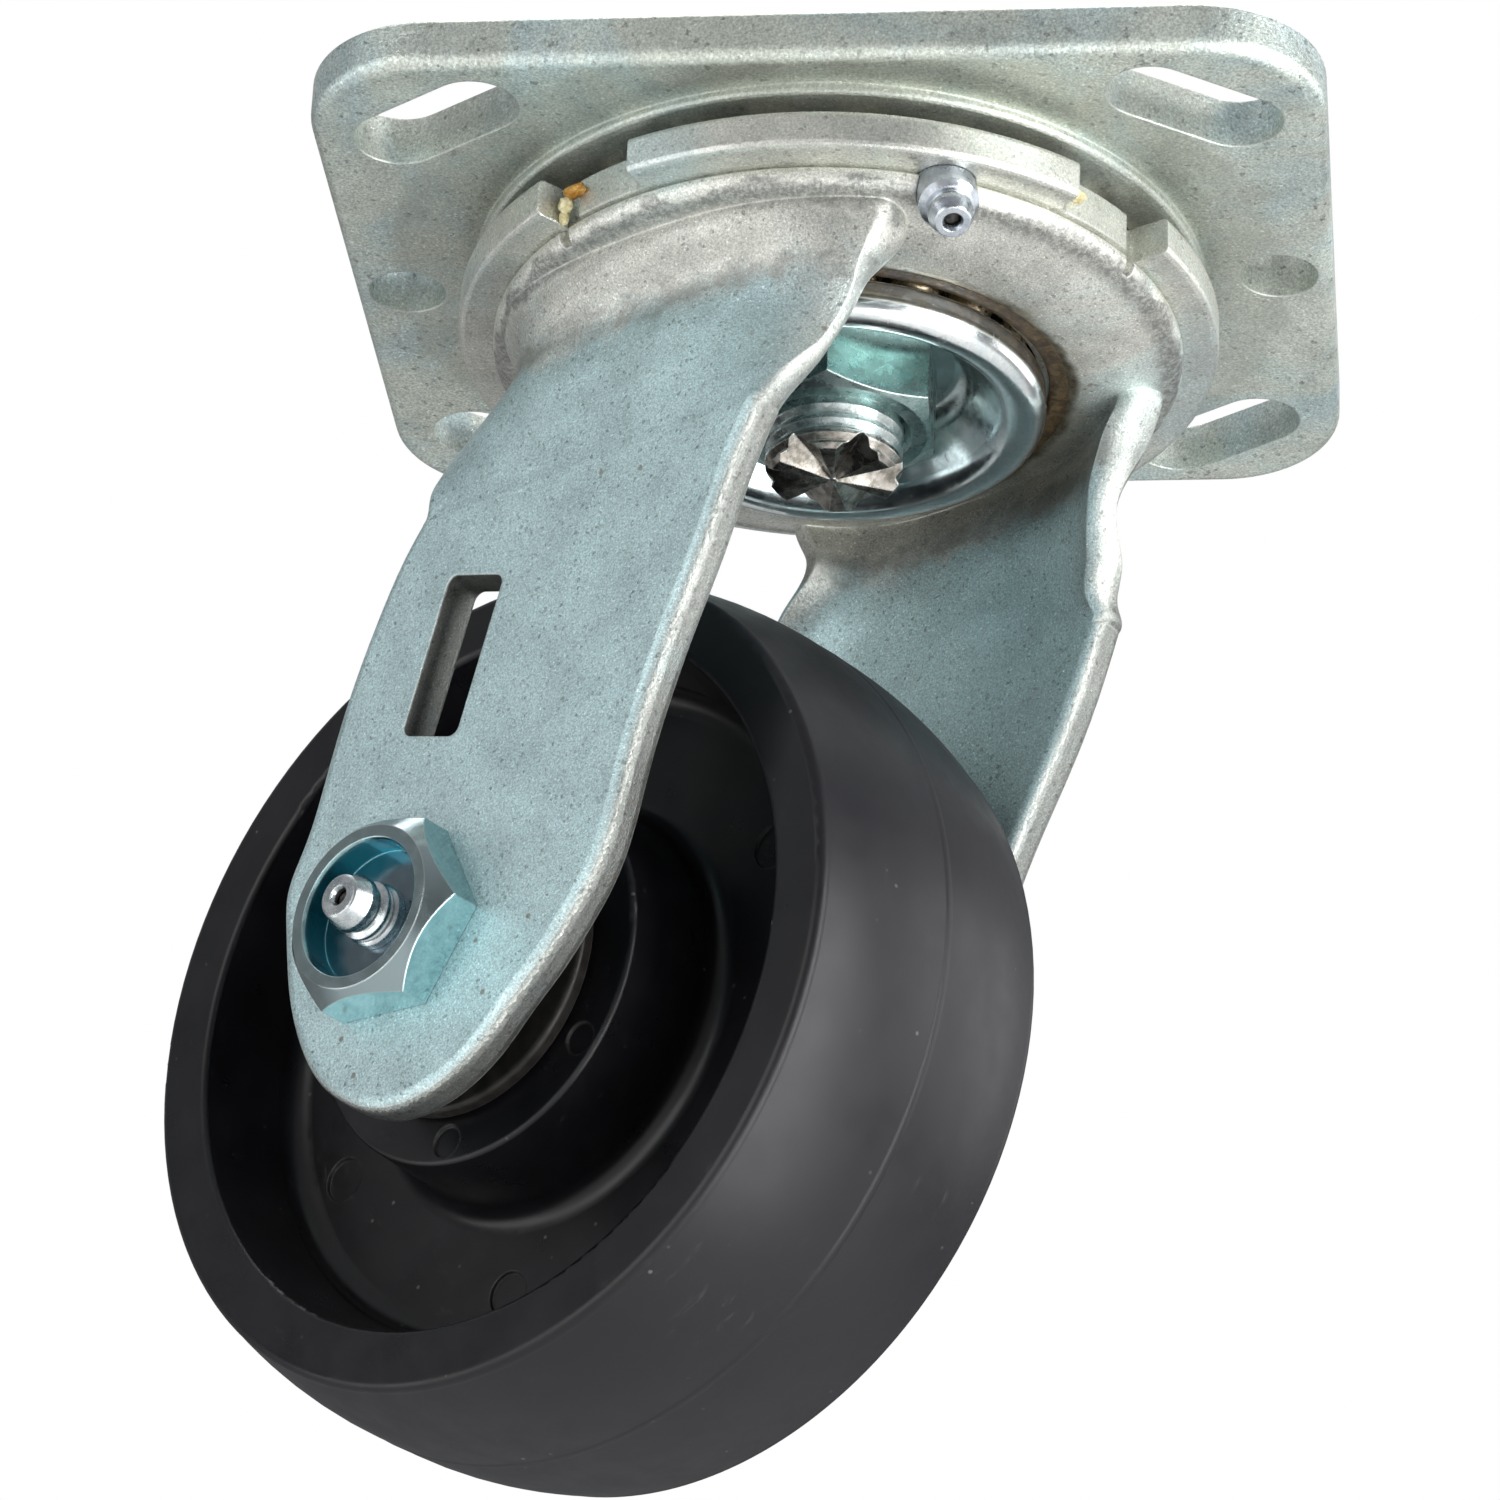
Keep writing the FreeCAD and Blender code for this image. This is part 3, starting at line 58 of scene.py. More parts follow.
# ---------------------------------------------------------------- material graph
class Graph:
    """A node material on object coordinates. Sizes, radii and heights are in millimetres."""

    def __init__(self, name):
        self.mat = bpy.data.materials.new(name)
        self.mat.use_nodes = True
        self.tree = self.mat.node_tree
        self.bsdf = self.tree.nodes["Principled BSDF"]
        self.coords = self.new("ShaderNodeTexCoord").outputs["Object"]

    @cached_property
    def geometry(self):
        return self.new("ShaderNodeNewGeometry")

    def new(self, kind, **props):
        node = self.tree.nodes.new(kind)
        for key, value in props.items():
            setattr(node, key, value)
        return node

    def put(self, socket, value):
        """Link a socket, or set its value."""
        if isinstance(value, bpy.types.NodeSocket):
            self.tree.links.new(value, socket)
        elif socket.type == "RGBA":
            socket.default_value = (*value, 1.0)
        else:
            socket.default_value = value

    # arithmetic
    def math(self, op, a, b=0.0, clamp=False):
        node = self.new("ShaderNodeMath", operation=op, use_clamp=clamp)
        self.put(node.inputs[0], a)
        self.put(node.inputs[1], b)
        return node.outputs[0]

    def times(self, first, *others):
        for other in others:
            first = self.math("MULTIPLY", first, other)
        return first

    def plus(self, a, b):
        return self.math("ADD", a, b)

    def minus(self, a, b):
        return self.math("SUBTRACT", a, b)

    def vector(self, op, a, b=None):
        node = self.new("ShaderNodeVectorMath", operation=op)
        self.put(node.inputs[0], a)
        if b is not None:
            self.put(node.inputs[1], b)
        return node.outputs["Value" if op in ("DOT_PRODUCT", "LENGTH") else "Vector"]

    def span(self, value, over, to=(0.0, 1.0)):
        """Smooth step from to[0] at over[0] to to[1] at over[1]."""
        node = self.new("ShaderNodeMapRange", interpolation_type="SMOOTHSTEP")
        self.put(node.inputs["Value"], value)
        for end, source, result in zip(("Min", "Max"), over, to):
            node.inputs["From " + end].default_value = source
            node.inputs["To " + end].default_value = result
        return node.outputs["Result"]

    def band(self, value, top, foot):
        """1 between two soft limits."""
        return self.times(self.span(value, over=top), self.span(value, over=foot))

    # textures
    def noise(self, size, detail=3.0, rough=0.55, warp=0.0, at=None):
        node = self.new("ShaderNodeTexNoise")
        self.put(node.inputs["Vector"], at or self.coords)
        node.inputs["Scale"].default_value = 1000.0 / size
        node.inputs["Detail"].default_value = detail
        node.inputs["Roughness"].default_value = rough
        node.inputs["Distortion"].default_value = warp
        return node.outputs["Fac"]

    def cells(self, size, output="Distance", at=None):
        node = self.new("ShaderNodeTexVoronoi", feature="F1")
        self.put(node.inputs["Vector"], at or self.coords)
        node.inputs["Scale"].default_value = 1000.0 / size
        return node.outputs[output]

    def patches(self, over=(0.3, 0.7), to=(0.0, 1.0), **noise):
        return self.span(self.noise(**noise), over, to)

    def uneven(self, value, by, **noise):
        """A distance that wanders by up to so many mm."""
        return self.plus(value, self.patches(to=(-by, by), **noise))

    def flecks(self, size, over, where, at=None):
        """Round dots, kept only where a mask allows."""
        return self.times(self.span(self.cells(size, at=at), over), where)

    def sparks(self, size):
        """The brightest crystals of a plating grain."""
        return self.span(self.cells(size * 0.9, "Color"), over=(0.80, 0.95))

    def grain(self, size, contrast):
        """Crystalline grain of plated sheet: value around 1."""
        fine = self.patches(over=(0.34, 0.66), to=(1.0 - contrast, 1.0 + contrast),
                            size=size, rough=0.8)
        pit = self.span(self.cells(size * 1.7, "Color"), over=(0.22, 0.08))
        lit = self.plus(fine, self.times(self.sparks(size), contrast * 1.8))
        return self.minus(lit, self.times(pit, contrast * 1.3))

    # places on the body
    def height(self):
        node = self.new("ShaderNodeSeparateXYZ")
        self.put(node.inputs[0], self.coords)
        return self.times(node.outputs["Z"], 1000.0)

    def along(self, origin, direction):
        """Distance from origin along a direction."""
        offset = self.vector("SUBTRACT", self.coords, origin)
        return self.times(self.vector("DOT_PRODUCT", offset, direction), 1000.0)

    def radius(self, line):
        """Distance from a line."""
        origin, direction = line
        offset = self.vector("SUBTRACT", self.coords, origin)
        across = self.vector("CROSS_PRODUCT", offset, direction)
        return self.times(self.vector("LENGTH", across), 1000.0)

    def facing(self, direction):
        """How far the surface faces a direction of its own body, -1 to 1."""
        node = self.new("ShaderNodeVectorTransform", vector_type="NORMAL",
                        convert_from="WORLD", convert_to="OBJECT")
        self.put(node.inputs[0], self.geometry.outputs["True Normal"])
        return self.vector("DOT_PRODUCT", node.outputs[0], direction)

    def bevel(self, radius):
        node = self.new("ShaderNodeBevel", samples=4)
        node.inputs["Radius"].default_value = radius / 1000.0
        return node.outputs["Normal"]

    def edge(self, radius):
        """1 along edges sharper than the radius, 0 on open faces."""
        flat = self.vector("DOT_PRODUCT", self.bevel(radius), self.geometry.outputs["Normal"])
        return self.span(flat, over=(0.995, 0.90))

    # colour and surface
    def mix(self, base, top, mask, strength=None):
        """Lay the top colour over the base where the mask is 1."""
        if strength is not None:
            mask = self.times(mask, strength)
        node = self.new("ShaderNodeMix", data_type="RGBA", blend_type="MIX")
        self.put(node.inputs["Factor"], mask)
        self.put(node.inputs[6], base)
        self.put(node.inputs[7], top)
        return node.outputs[2]

    def two_tone(self, base, top, **patches):
        return self.mix(base, top, self.patches(**patches))

    def scale(self, color, factor):
        node = self.new("ShaderNodeVectorMath", operation="SCALE")
        self.put(node.inputs[0], color)
        self.put(node.inputs[3], factor)
        return node.outputs[0]

    def darken(self, color, mask, amount):
        return self.scale(color, self.minus(1.0, self.times(mask, amount)))

    def bumps(self, strength, depth, normal=None, **noise):
        """Noise relief, laid over an earlier normal if there is one."""
        node = self.new("ShaderNodeBump")
        node.inputs["Strength"].default_value = strength
        node.inputs["Distance"].default_value = depth / 1000.0
        self.put(node.inputs["Height"], self.noise(**noise))
        if normal is not None:
            self.put(node.inputs["Normal"], normal)
        return node.outputs["Normal"]

    def finish(self, color, rough, metallic, normal=None, specular=0.5):
        self.put(self.bsdf.inputs["Base Color"], color)
        self.put(self.bsdf.inputs["Roughness"], rough)
        self.put(self.bsdf.inputs["Metallic"], metallic)
        self.put(self.bsdf.inputs["Specular IOR Level"], specular)
        if normal is not None:
            self.put(self.bsdf.inputs["Normal"], normal)
        return self.mat


# ---------------------------------------------------------------- finishes
def pressed_zinc(name, warm, cool, crystal, contrast, rough, pebble,
                 cool_at=None, shade=None, specks=0.0):
    """Zinc-plated pressed sheet: warm grey with cool patches, pebbles and a painted highlight
    along the edges.
    """
    g = Graph(name)
    patch = g.patches(over=(0.42, 0.68), size=22.0, detail=4.0, rough=0.6, warp=0.6)
    if cool_at is not None:
        patch = g.math("MAXIMUM", g.times(patch, 0.45), cool_at(g), clamp=True)
    color = g.mix(warm, cool, patch)
    color = g.scale(color, g.patches(over=(0.35, 0.75), to=(1.0, 0.84),
                                     size=7.0, detail=4.0, rough=0.6))
    color = g.scale(color, g.grain(crystal, contrast))
    if shade is not None:
        color = shade(g, color)
    if specks:
        brown = g.flecks(size=5.5, over=(0.085, 0.04),
                         where=g.patches(over=(0.45, 0.62), size=30.0, detail=2.0))
        color = g.mix(color, top=(0.20, 0.13, 0.085), mask=brown, strength=specks)
        squeezed = g.vector("MULTIPLY", g.coords, (1.0, 1.1, 0.9))
        dark = g.flecks(size=2.3, over=(0.10, 0.05), at=squeezed,
                        where=g.patches(over=(0.5, 0.62), size=11.0))
        color = g.mix(color, top=(0.10, 0.11, 0.105), mask=dark, strength=specks * 0.6)
    # painted highlight: pale colour laid along the sharp edges
    edge_wear_and_highlight = g.times(g.edge(radius=0.45),
                   g.patches(over=(0.35, 0.6), to=(0.35, 1.0), size=1.6, rough=0.7))
    color = g.mix(color, top=(0.80, 0.82, 0.78), mask=edge_wear_and_highlight, strength=0.75)

    gloss = g.patches(to=(rough - 0.07, rough + 0.09), size=9.0, detail=4.0, rough=0.6)
    gloss = g.minus(gloss, g.times(edge_wear_and_highlight, 0.14))
    gloss = g.minus(gloss, g.times(g.sparks(crystal), 0.14))
    waves = g.bumps(strength=pebble * 0.35, depth=0.16, normal=g.bevel(radius=0.35), size=4.5)
    pebbles = g.bumps(strength=pebble, depth=0.10, normal=waves, size=crystal * 1.6, rough=0.75)
    return g.finish(color, gloss, metallic=0.85, normal=pebbles)


def bright_zinc(name, tint, dark, rough, streak, dirt, shade=None):
    """Smooth blue-bright zinc on turned or formed steel, with grey residue and a painted
    highlight along the edges.
    """
    g = Graph(name)
    color = g.two_tone(tint, dark, over=(0.35, 0.7), size=3.5, detail=4.0, rough=0.6, warp=0.8)
    color = g.scale(color, g.grain(size=0.35, contrast=0.07))
    if shade is not None:
        color = shade(g, color)
    smudge = g.patches(over=(0.55, 0.72), size=2.2, detail=5.0, rough=0.7, warp=1.2)
    smudge = g.times(smudge, dirt)
    color = g.mix(color, top=(0.09, 0.08, 0.065), mask=smudge)
    # painted highlight: pale colour along the sharp edges
    color = g.mix(color, top=(0.86, 0.88, 0.86), mask=g.edge(radius=0.25), strength=0.6)
    gloss = g.patches(to=(rough * 0.75, rough * 1.5), size=1.8, detail=4.0, rough=0.65)
    gloss = g.plus(gloss, g.times(smudge, 0.4))
    normal = g.bumps(strength=streak, depth=0.02, normal=g.bevel(radius=0.22),
                     size=0.5, rough=0.6)
    return g.finish(color, gloss, metallic=1.0, normal=normal)


def greasy_steel(name, tint=(0.42, 0.40, 0.36)):
    g = Graph(name)
    film = g.patches(over=(0.40, 0.62), size=1.8, detail=4.0, rough=0.6, warp=0.7)
    color = g.mix(tint, top=(0.115, 0.075, 0.028), mask=film)
    return g.finish(color, rough=g.patches(to=(0.16, 0.34), size=0.9),
                    metallic=g.minus(1.0, g.times(film, 0.85)),
                    normal=g.bumps(strength=0.3, depth=0.06, size=0.8))


def grease(name, dark, light, rough):
    g = Graph(name)
    color = g.two_tone(dark, light, over=(0.38, 0.66), size=1.1, detail=4.0, rough=0.6, warp=0.9)
    return g.finish(color, rough=g.patches(to=rough, size=0.7), metallic=0.0,
                    normal=g.bumps(strength=0.7, depth=0.2, size=0.6, detail=4.0, rough=0.65))


def wheel_finish(name):
    """Moulded near-black thermoplastic: satin scuffed tread, polished flanks, pale dust."""
    g = Graph(name)
    radius = g.radius(AXLE_LINE)
    across = g.along(AXLE_AT, AXLE_DIR)
    tread = g.times(g.span(radius, over=(47.6, 48.6)),
                    g.span(g.math("ABSOLUTE", across), over=(19.3, 18.8)))
    color = g.two_tone((0.0036, 0.0036, 0.0048), (0.0078, 0.0077, 0.0100),
                       over=(0.35, 0.7), size=14.0, detail=4.0, rough=0.6)
    color = g.mix(color, top=(0.0070, 0.0069, 0.0095), mask=tread)

    # coordinates that run round the wheel and stretch the scuffs along the roll
    metres_per_radian = 0.012
    angle = g.math("ARCTAN2", g.along(AXLE_AT, TRAIL_DIR), g.along(AXLE_AT, UP))
    combine = g.new("ShaderNodeCombineXYZ")
    g.put(combine.inputs[0], g.times(across, 0.001))
    g.put(combine.inputs[1], g.times(angle, metres_per_radian))
    g.put(combine.inputs[2], g.times(radius, 0.001))
    rolled = combine.outputs[0]

    scuff = g.times(g.patches(over=(0.57, 0.74), size=1.3, detail=5.0, rough=0.75, warp=0.4,
                              at=rolled),
                    g.patches(over=(0.42, 0.7), size=16.0))
    color = g.mix(color, top=(0.075, 0.074, 0.075), mask=scuff, strength=0.24)
    dust = g.flecks(size=3.1, over=(0.10, 0.05), where=g.patches(over=(0.5, 0.66), size=9.0))
    color = g.mix(color, top=(0.17, 0.165, 0.15), mask=dust, strength=0.55)
    edge_wear_and_highlight = g.times(g.edge(radius=0.5), g.patches(over=(0.36, 0.62), to=(0.25, 1.0),
                                                 size=2.6, detail=4.0, rough=0.7))
    color = g.mix(color, top=(0.11, 0.108, 0.105), mask=edge_wear_and_highlight, strength=0.42)

    gloss = g.patches(to=(0.27, 0.35), size=6.0, detail=4.0, rough=0.65)
    gloss = g.plus(gloss, g.times(tread, 0.10))
    gloss = g.plus(gloss, g.times(scuff, 0.16))
    waves = g.bumps(strength=0.25, depth=0.12, normal=g.bevel(radius=0.4), size=9.0, rough=0.5)
    fine = g.bumps(strength=0.12, depth=0.03, normal=waves,
                   size=0.7, rough=0.6, warp=0.3, at=rolled)
    return g.finish(color, gloss, metallic=0.0, normal=fine, specular=0.42)


def dark_washer(name):
    """Black-finished steel with worn brownish edges."""
    g = Graph(name)
    color = g.two_tone((0.013, 0.012, 0.011), (0.030, 0.027, 0.023),
                       over=(0.35, 0.7), size=2.6, detail=4.0, rough=0.65)
    color = g.mix(color, top=(0.12, 0.11, 0.095), mask=g.edge(radius=0.3), strength=0.6)
    return g.finish(color, rough=g.patches(to=(0.34, 0.50), size=1.4), metallic=0.35,
                    normal=g.bumps(strength=0.3, depth=0.04, normal=g.bevel(radius=0.25),
                                   size=0.5))


def plain_steel(name):
    g = Graph(name)
    color = g.two_tone((0.50, 0.50, 0.48), (0.34, 0.34, 0.33),
                       over=(0.35, 0.7), size=2.5, detail=4.0, rough=0.6)
    return g.finish(color, rough=g.patches(to=(0.24, 0.40), size=1.2), metallic=1.0,
                    normal=g.bumps(strength=0.2, depth=0.03, normal=g.bevel(radius=0.15),
                                   size=0.5))


def nylon(name):
    g = Graph(name)
    color = g.two_tone((0.62, 0.62, 0.58), (0.50, 0.50, 0.46), over=(0.35, 0.7), size=3.0)
    return g.finish(color, rough=g.patches(to=(0.38, 0.5), size=1.5), metallic=0.0,
                    normal=g.bumps(strength=0.2, depth=0.03, size=0.6))


def dark_ball(name):
    g = Graph(name)
    color = g.two_tone((0.030, 0.028, 0.026), (0.075, 0.070, 0.062), over=(0.35, 0.7), size=0.8)
    return g.finish(color, rough=g.patches(to=(0.45, 0.6), size=0.5, detail=2.0), metallic=0.6)


# ---------------------------------------------------------------- local shading of single parts
def fork_cool(g):
    """Blue-green on the legs, warm grey on the crown and its rim."""
    z = g.uneven(g.height(), by=1.6, size=6.0)
    side = g.span(g.math("ABSOLUTE", g.facing(AXLE_DIR)), over=(0.55, 0.97), to=(0.18, 1.0))
    return g.times(g.span(z, over=(-24.5, -28.5)), side)


def fork_shade(g, color):
    """Painted shade in bands above the legs, under the crown's rim and on the legs' low edge
    faces; a grey stain, and old grease round the cup.
    """
    z = g.uneven(g.height(), by=0.8, size=4.0)
    radius = g.radius(SWIVEL_LINE)
    # painted shade, darker lower down, on the low faces turned away from the axle direction
    painted_shade_low_edges = g.times(g.span(g.math("ABSOLUTE", g.facing(AXLE_DIR)), over=(0.80, 0.35)),
                  g.span(g.height(), over=(-33.0, -44.0)))
    color = g.darken(color, painted_shade_low_edges, g.span(g.height(), over=(-60.0, -112.0), to=(0.62, 0.76)))
    # wide faint band of painted shade over the bend above the legs, with a grey stain inside it
    painted_shade_band = g.band(z, top=(-18.4, -20.6), foot=(-33.0, -27.0))
    color = g.darken(color, painted_shade_band, amount=0.22)
    grey = g.times(g.band(z, top=(-23.2, -24.6), foot=(-27.8, -26.4)),
                   g.patches(over=(0.35, 0.6), to=(0.25, 0.65), size=3.0, detail=4.0))
    color = g.mix(color, top=(0.24, 0.25, 0.235), mask=grey)
    # narrow dark line of painted shade on the underside of the crown's rim
    line = g.times(g.span(radius, over=(36.2, 38.2)),
                   g.band(z, top=(-16.4, -17.2), foot=(-19.4, -18.2)),
                   g.patches(over=(0.4, 0.6), to=(0.45, 0.95), size=0.7, rough=0.8))
    color = g.mix(color, top=(0.26, 0.265, 0.25), mask=line)
    # grease on the lip, and the pale halo outside it
    below = (-22.5, -21.5)
    ragged = g.uneven(radius, by=0.35, size=6.0, detail=4.0, rough=0.6)
    lip = g.times(g.span(ragged, over=(28.3, 27.1)), g.span(g.height(), over=below))
    color = g.mix(color, top=(0.040, 0.026, 0.012), mask=lip)
    halo = g.times(g.span(radius, over=(30.5, 27.5)), g.span(g.height(), over=below),
                   g.patches(over=(0.35, 0.65), to=(0.1, 0.55), size=2.4, detail=4.0, rough=0.7))
    return g.mix(color, top=(0.36, 0.33, 0.24), mask=halo)


def plate_shade(g, color):
    """Painted shade on the race pad's step and in the bend round it, under the raceway disc."""
    radius = g.uneven(g.radius(SWIVEL_LINE), by=0.9, size=5.0, detail=4.0)
    # painted shade in the ring under the raceway disc
    painted_shade_ring = g.times(g.span(radius, over=(54.0, 50.5)),
                   g.span(g.height(), over=(-5.4, -6.4), to=(0.5, 1.0)))
    return g.mix(color, top=(0.33, 0.34, 0.29), mask=painted_shade_ring, strength=0.42)


def cup_shade(g, color):
    """Yellow-stained upper edge, clear blue bowl."""
    stain = g.times(g.span(g.height(), over=(-20.9, -20.2)),
                    g.patches(over=(0.3, 0.62), to=(0.25, 0.85), size=2.2, detail=4.0, rough=0.6))
    color = g.mix(color, top=(0.52, 0.45, 0.28), mask=stain)
    bowl = g.span(g.radius(SWIVEL_LINE), over=(21.6, 18.5), to=(0.0, 0.75))
    return g.mix(color, top=(0.44, 0.58, 0.60), mask=bowl)


def pin_shade(g, color):
    """Bare grey-brown steel where the lower end is punched over."""
    bare = g.times(g.span(g.height(), over=(-29.6, -30.6)),
                   g.patches(over=(0.2, 0.5), to=(0.75, 1.0), size=1.2))
    metal = g.two_tone((0.46, 0.43, 0.39), (0.17, 0.155, 0.13),
                       over=(0.35, 0.65), size=1.6, detail=4.0, rough=0.6)
    return g.mix(color, metal, bare)


def head_shade(g, color):
    """Strong teal plating in the bolt head's counterbore, paler face."""
    radius = g.radius(AXLE_LINE)
    x = g.along(AXLE_AT, AXLE_DIR)
    bore = g.times(g.span(radius, over=(8.35, 8.15)), g.span(x, over=(-39.4, -38.6)))
    bottom = g.times(g.span(radius, over=(7.9, 7.6)), g.span(x, over=(-36.6, -36.1)))
    face = g.times(g.span(g.facing(-AXLE_DIR), over=(0.10, 0.35)),
                   g.span(radius, over=(8.2, 8.5)))
    color = g.mix(color, top=(0.38, 0.47, 0.49), mask=face)
    color = g.mix(color, top=(0.04, 0.34, 0.42), mask=bore)
    return g.mix(color, top=(0.20, 0.26, 0.30), mask=bottom)


FINISH = {
    "top_plate": partial(
        pressed_zinc, warm=(0.71, 0.75, 0.68), cool=(0.57, 0.69, 0.69),
        crystal=0.32, contrast=0.28, rough=0.41, pebble=1.0, shade=plate_shade),
    "raceway_disc": partial(
        pressed_zinc, warm=(0.66, 0.665, 0.61), cool=(0.56, 0.63, 0.62),
        crystal=0.27, contrast=0.22, rough=0.42, pebble=0.6),
    "fork": partial(
        pressed_zinc, warm=(0.72, 0.72, 0.665), cool=(0.57, 0.735, 0.755), cool_at=fork_cool,
        crystal=0.24, contrast=0.27, rough=0.44, pebble=0.80, specks=0.7, shade=fork_shade),
    "cup_washer": partial(
        bright_zinc, tint=(0.92, 0.95, 0.95), dark=(0.76, 0.84, 0.86),
        rough=0.17, streak=0.25, dirt=0.25, shade=cup_shade),
    "kingpin_nut": partial(
        bright_zinc, tint=(0.50, 0.64, 0.62), dark=(0.36, 0.50, 0.49),
        rough=0.24, streak=0.35, dirt=0.35),
    "kingpin": partial(
        bright_zinc, tint=(0.66, 0.72, 0.71), dark=(0.42, 0.48, 0.48),
        rough=0.24, streak=0.4, dirt=0.45, shade=pin_shade),
    "axle_bolt": partial(
        bright_zinc, tint=(0.40, 0.62, 0.64), dark=(0.30, 0.50, 0.53),
        rough=0.17, streak=0.30, dirt=0.12, shade=head_shade),
    "axle_nut": partial(
        bright_zinc, tint=(0.42, 0.57, 0.58), dark=(0.32, 0.46, 0.48),
        rough=0.26, streak=0.4, dirt=0.3),
    "axle_fitting": partial(
        bright_zinc, tint=(0.74, 0.78, 0.79), dark=(0.52, 0.57, 0.60),
        rough=0.22, streak=0.3, dirt=0.2),
    "swivel_fitting": partial(
        bright_zinc, tint=(0.60, 0.64, 0.69), dark=(0.40, 0.44, 0.50),
        rough=0.27, streak=0.3, dirt=0.25),
    "hub_washer_near": dark_washer,
    "hub_washer_far": dark_washer,
    "wheel": wheel_finish,
    "upper_balls": greasy_steel,
    "lower_balls": partial(greasy_steel, tint=(0.30, 0.25, 0.17)),
    "bearing_rollers": greasy_steel,
    "swivel_fitting_ball": dark_ball,
    "axle_fitting_ball": dark_ball,
    "axle_nut_insert": nylon,
    "roller_cage": nylon,
}

for node_name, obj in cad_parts.items():
    material = FINISH.get(node_name, plain_steel)(node_name + "_finish")
    for slot in obj.material_slots:
        slot.material = material


# ---------------------------------------------------------------- grease
def add_object(name, data):
    obj = bpy.data.objects.new(name, data)
    bpy.context.scene.collection.objects.link(obj)
    return obj


def add_mesh(name, bm, mat):
    mesh = bpy.data.meshes.new(name)
    bmesh.ops.recalc_face_normals(bm, faces=bm.faces)
    bm.to_mesh(mesh)
    bm.free()
    for face in mesh.polygons:
        face.use_smooth = True
    mesh.materials.append(mat)
    return add_object(name, mesh)


def grease_ring(name, r_in, r_out, z_top, z_low, mat, count=220):
    """Closed bead round the swivel axis with an uneven lower lip, in mm."""
    bm = bmesh.new()
    rings = []
    for i in range(count):
        angle = 2 * math.pi * i / count
        c, s = math.cos(angle), math.sin(angle)
        # a slow wave and a fine one
        wave = (mnoise.noise(Vector((c * 3.1, s * 3.1, 0.3))) * 0.5
                + mnoise.noise(Vector((c * 13.0, s * 13.0, 1.7))) * 0.25)
        low = z_low + 0.22 * wave
        # radius, z
        profile = [
            (r_in, z_top),
            (r_in + 0.03, (z_top + low) / 2),
            (r_in + 0.22, low + 0.12),
            ((r_in + r_out) / 2, low - 0.05 * wave),
            (r_out - 0.22, low + 0.02),
            (r_out, low + 0.06),
            (r_out - 0.7, z_top),
        ]
        rings.append([bm.verts.new((r * c / 1000, r * s / 1000, z / 1000)) for r, z in profile])
    for i, ring in enumerate(rings):
        after = rings[(i + 1) % count]
        for k in range(len(ring)):
            k2 = (k + 1) % len(ring)
            bm.faces.new((ring[k], after[k], after[k2], ring[k2]))
    return add_mesh(name, bm, mat)


def grease_dab(name, center, size, turn, seed, mat):
    """Small uneven dab, in mm: size holds its half-axes before the turn about Z."""
    bm = bmesh.new()
    bmesh.ops.create_icosphere(bm, subdivisions=4, radius=1.0)
    rotation = Matrix.Rotation(turn, 3, "Z")
    for vert in bm.verts:
        out = vert.co.normalized()
        swell = (1.0 + 0.28 * mnoise.noise(out * 1.7 + Vector((seed, 0, 0)))
                 + 0.10 * mnoise.noise(out * 5.0 + Vector((0, seed, 0))))
        point = rotation @ Vector([out[i] * size[i] * swell for i in range(3)])
        vert.co = (point + Vector(center)) / 1000
    return add_mesh(name, bm, mat)


old = grease("old_grease", dark=(0.022, 0.013, 0.006), light=(0.080, 0.052, 0.020),
             rough=(0.38, 0.62))
bead = grease_ring("grease_bead", r_in=24.5, r_out=26.8, z_top=-19.1, z_low=-20.05, mat=old)
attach(bead, "fork_assembly")

fresh = grease("fresh_grease", dark=(0.30, 0.12, 0.012), light=(0.62, 0.36, 0.07),
               rough=(0.12, 0.26))
pale = grease("pale_grease", dark=(0.55, 0.48, 0.25), light=(0.70, 0.66, 0.44),
              rough=(0.18, 0.32))
# tag, degrees round Z, radius, z, half-axes, noise seed, material
DABS = (
    ("a", 228.3, 40.9, -12.1, (0.9, 1.5, 0.75), 1.3, fresh),
    ("b", 226.4, 40.9, -13.4, (0.8, 0.9, 1.0), 4.1, pale),
    ("c", 225.6, 40.6, -14.6, (0.6, 0.5, 0.9), 7.7, pale),
    ("d", 316.0, 40.8, -12.6, (0.7, 1.1, 0.8), 9.2, pale),
)
for tag, degrees, radius, z, size, seed, mat in DABS:
    turn = math.radians(degrees)
    center = (radius * math.cos(turn), radius * math.sin(turn), z)
    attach(grease_dab("grease_dab_" + tag, center, size, turn, seed, mat), "fork_assembly")


# ---------------------------------------------------------------- camera, world and lights
def add_camera():
    data = bpy.data.cameras.new("camera")
    data.sensor_width = 36.0
    data.lens = 163.1847
    data.shift_x = -0.0005
    data.shift_y = 0.00073
    data.clip_start = 0.01
    camera = add_object("camera", data)
    # columns: right, up, backward, place
    camera.matrix_world = Matrix((
        (0.99444868, 0.01112128, 0.10463332, 0.07178219),
        (0.09765483, -0.46784745, -0.87839757, -0.67051165),
        (0.03918352, 0.88373926, -0.46633633, -0.42334968),
        (0, 0, 0, 1)))
    bpy.context.scene.camera = camera
    bpy.context.scene.view_settings.view_transform = "Standard"


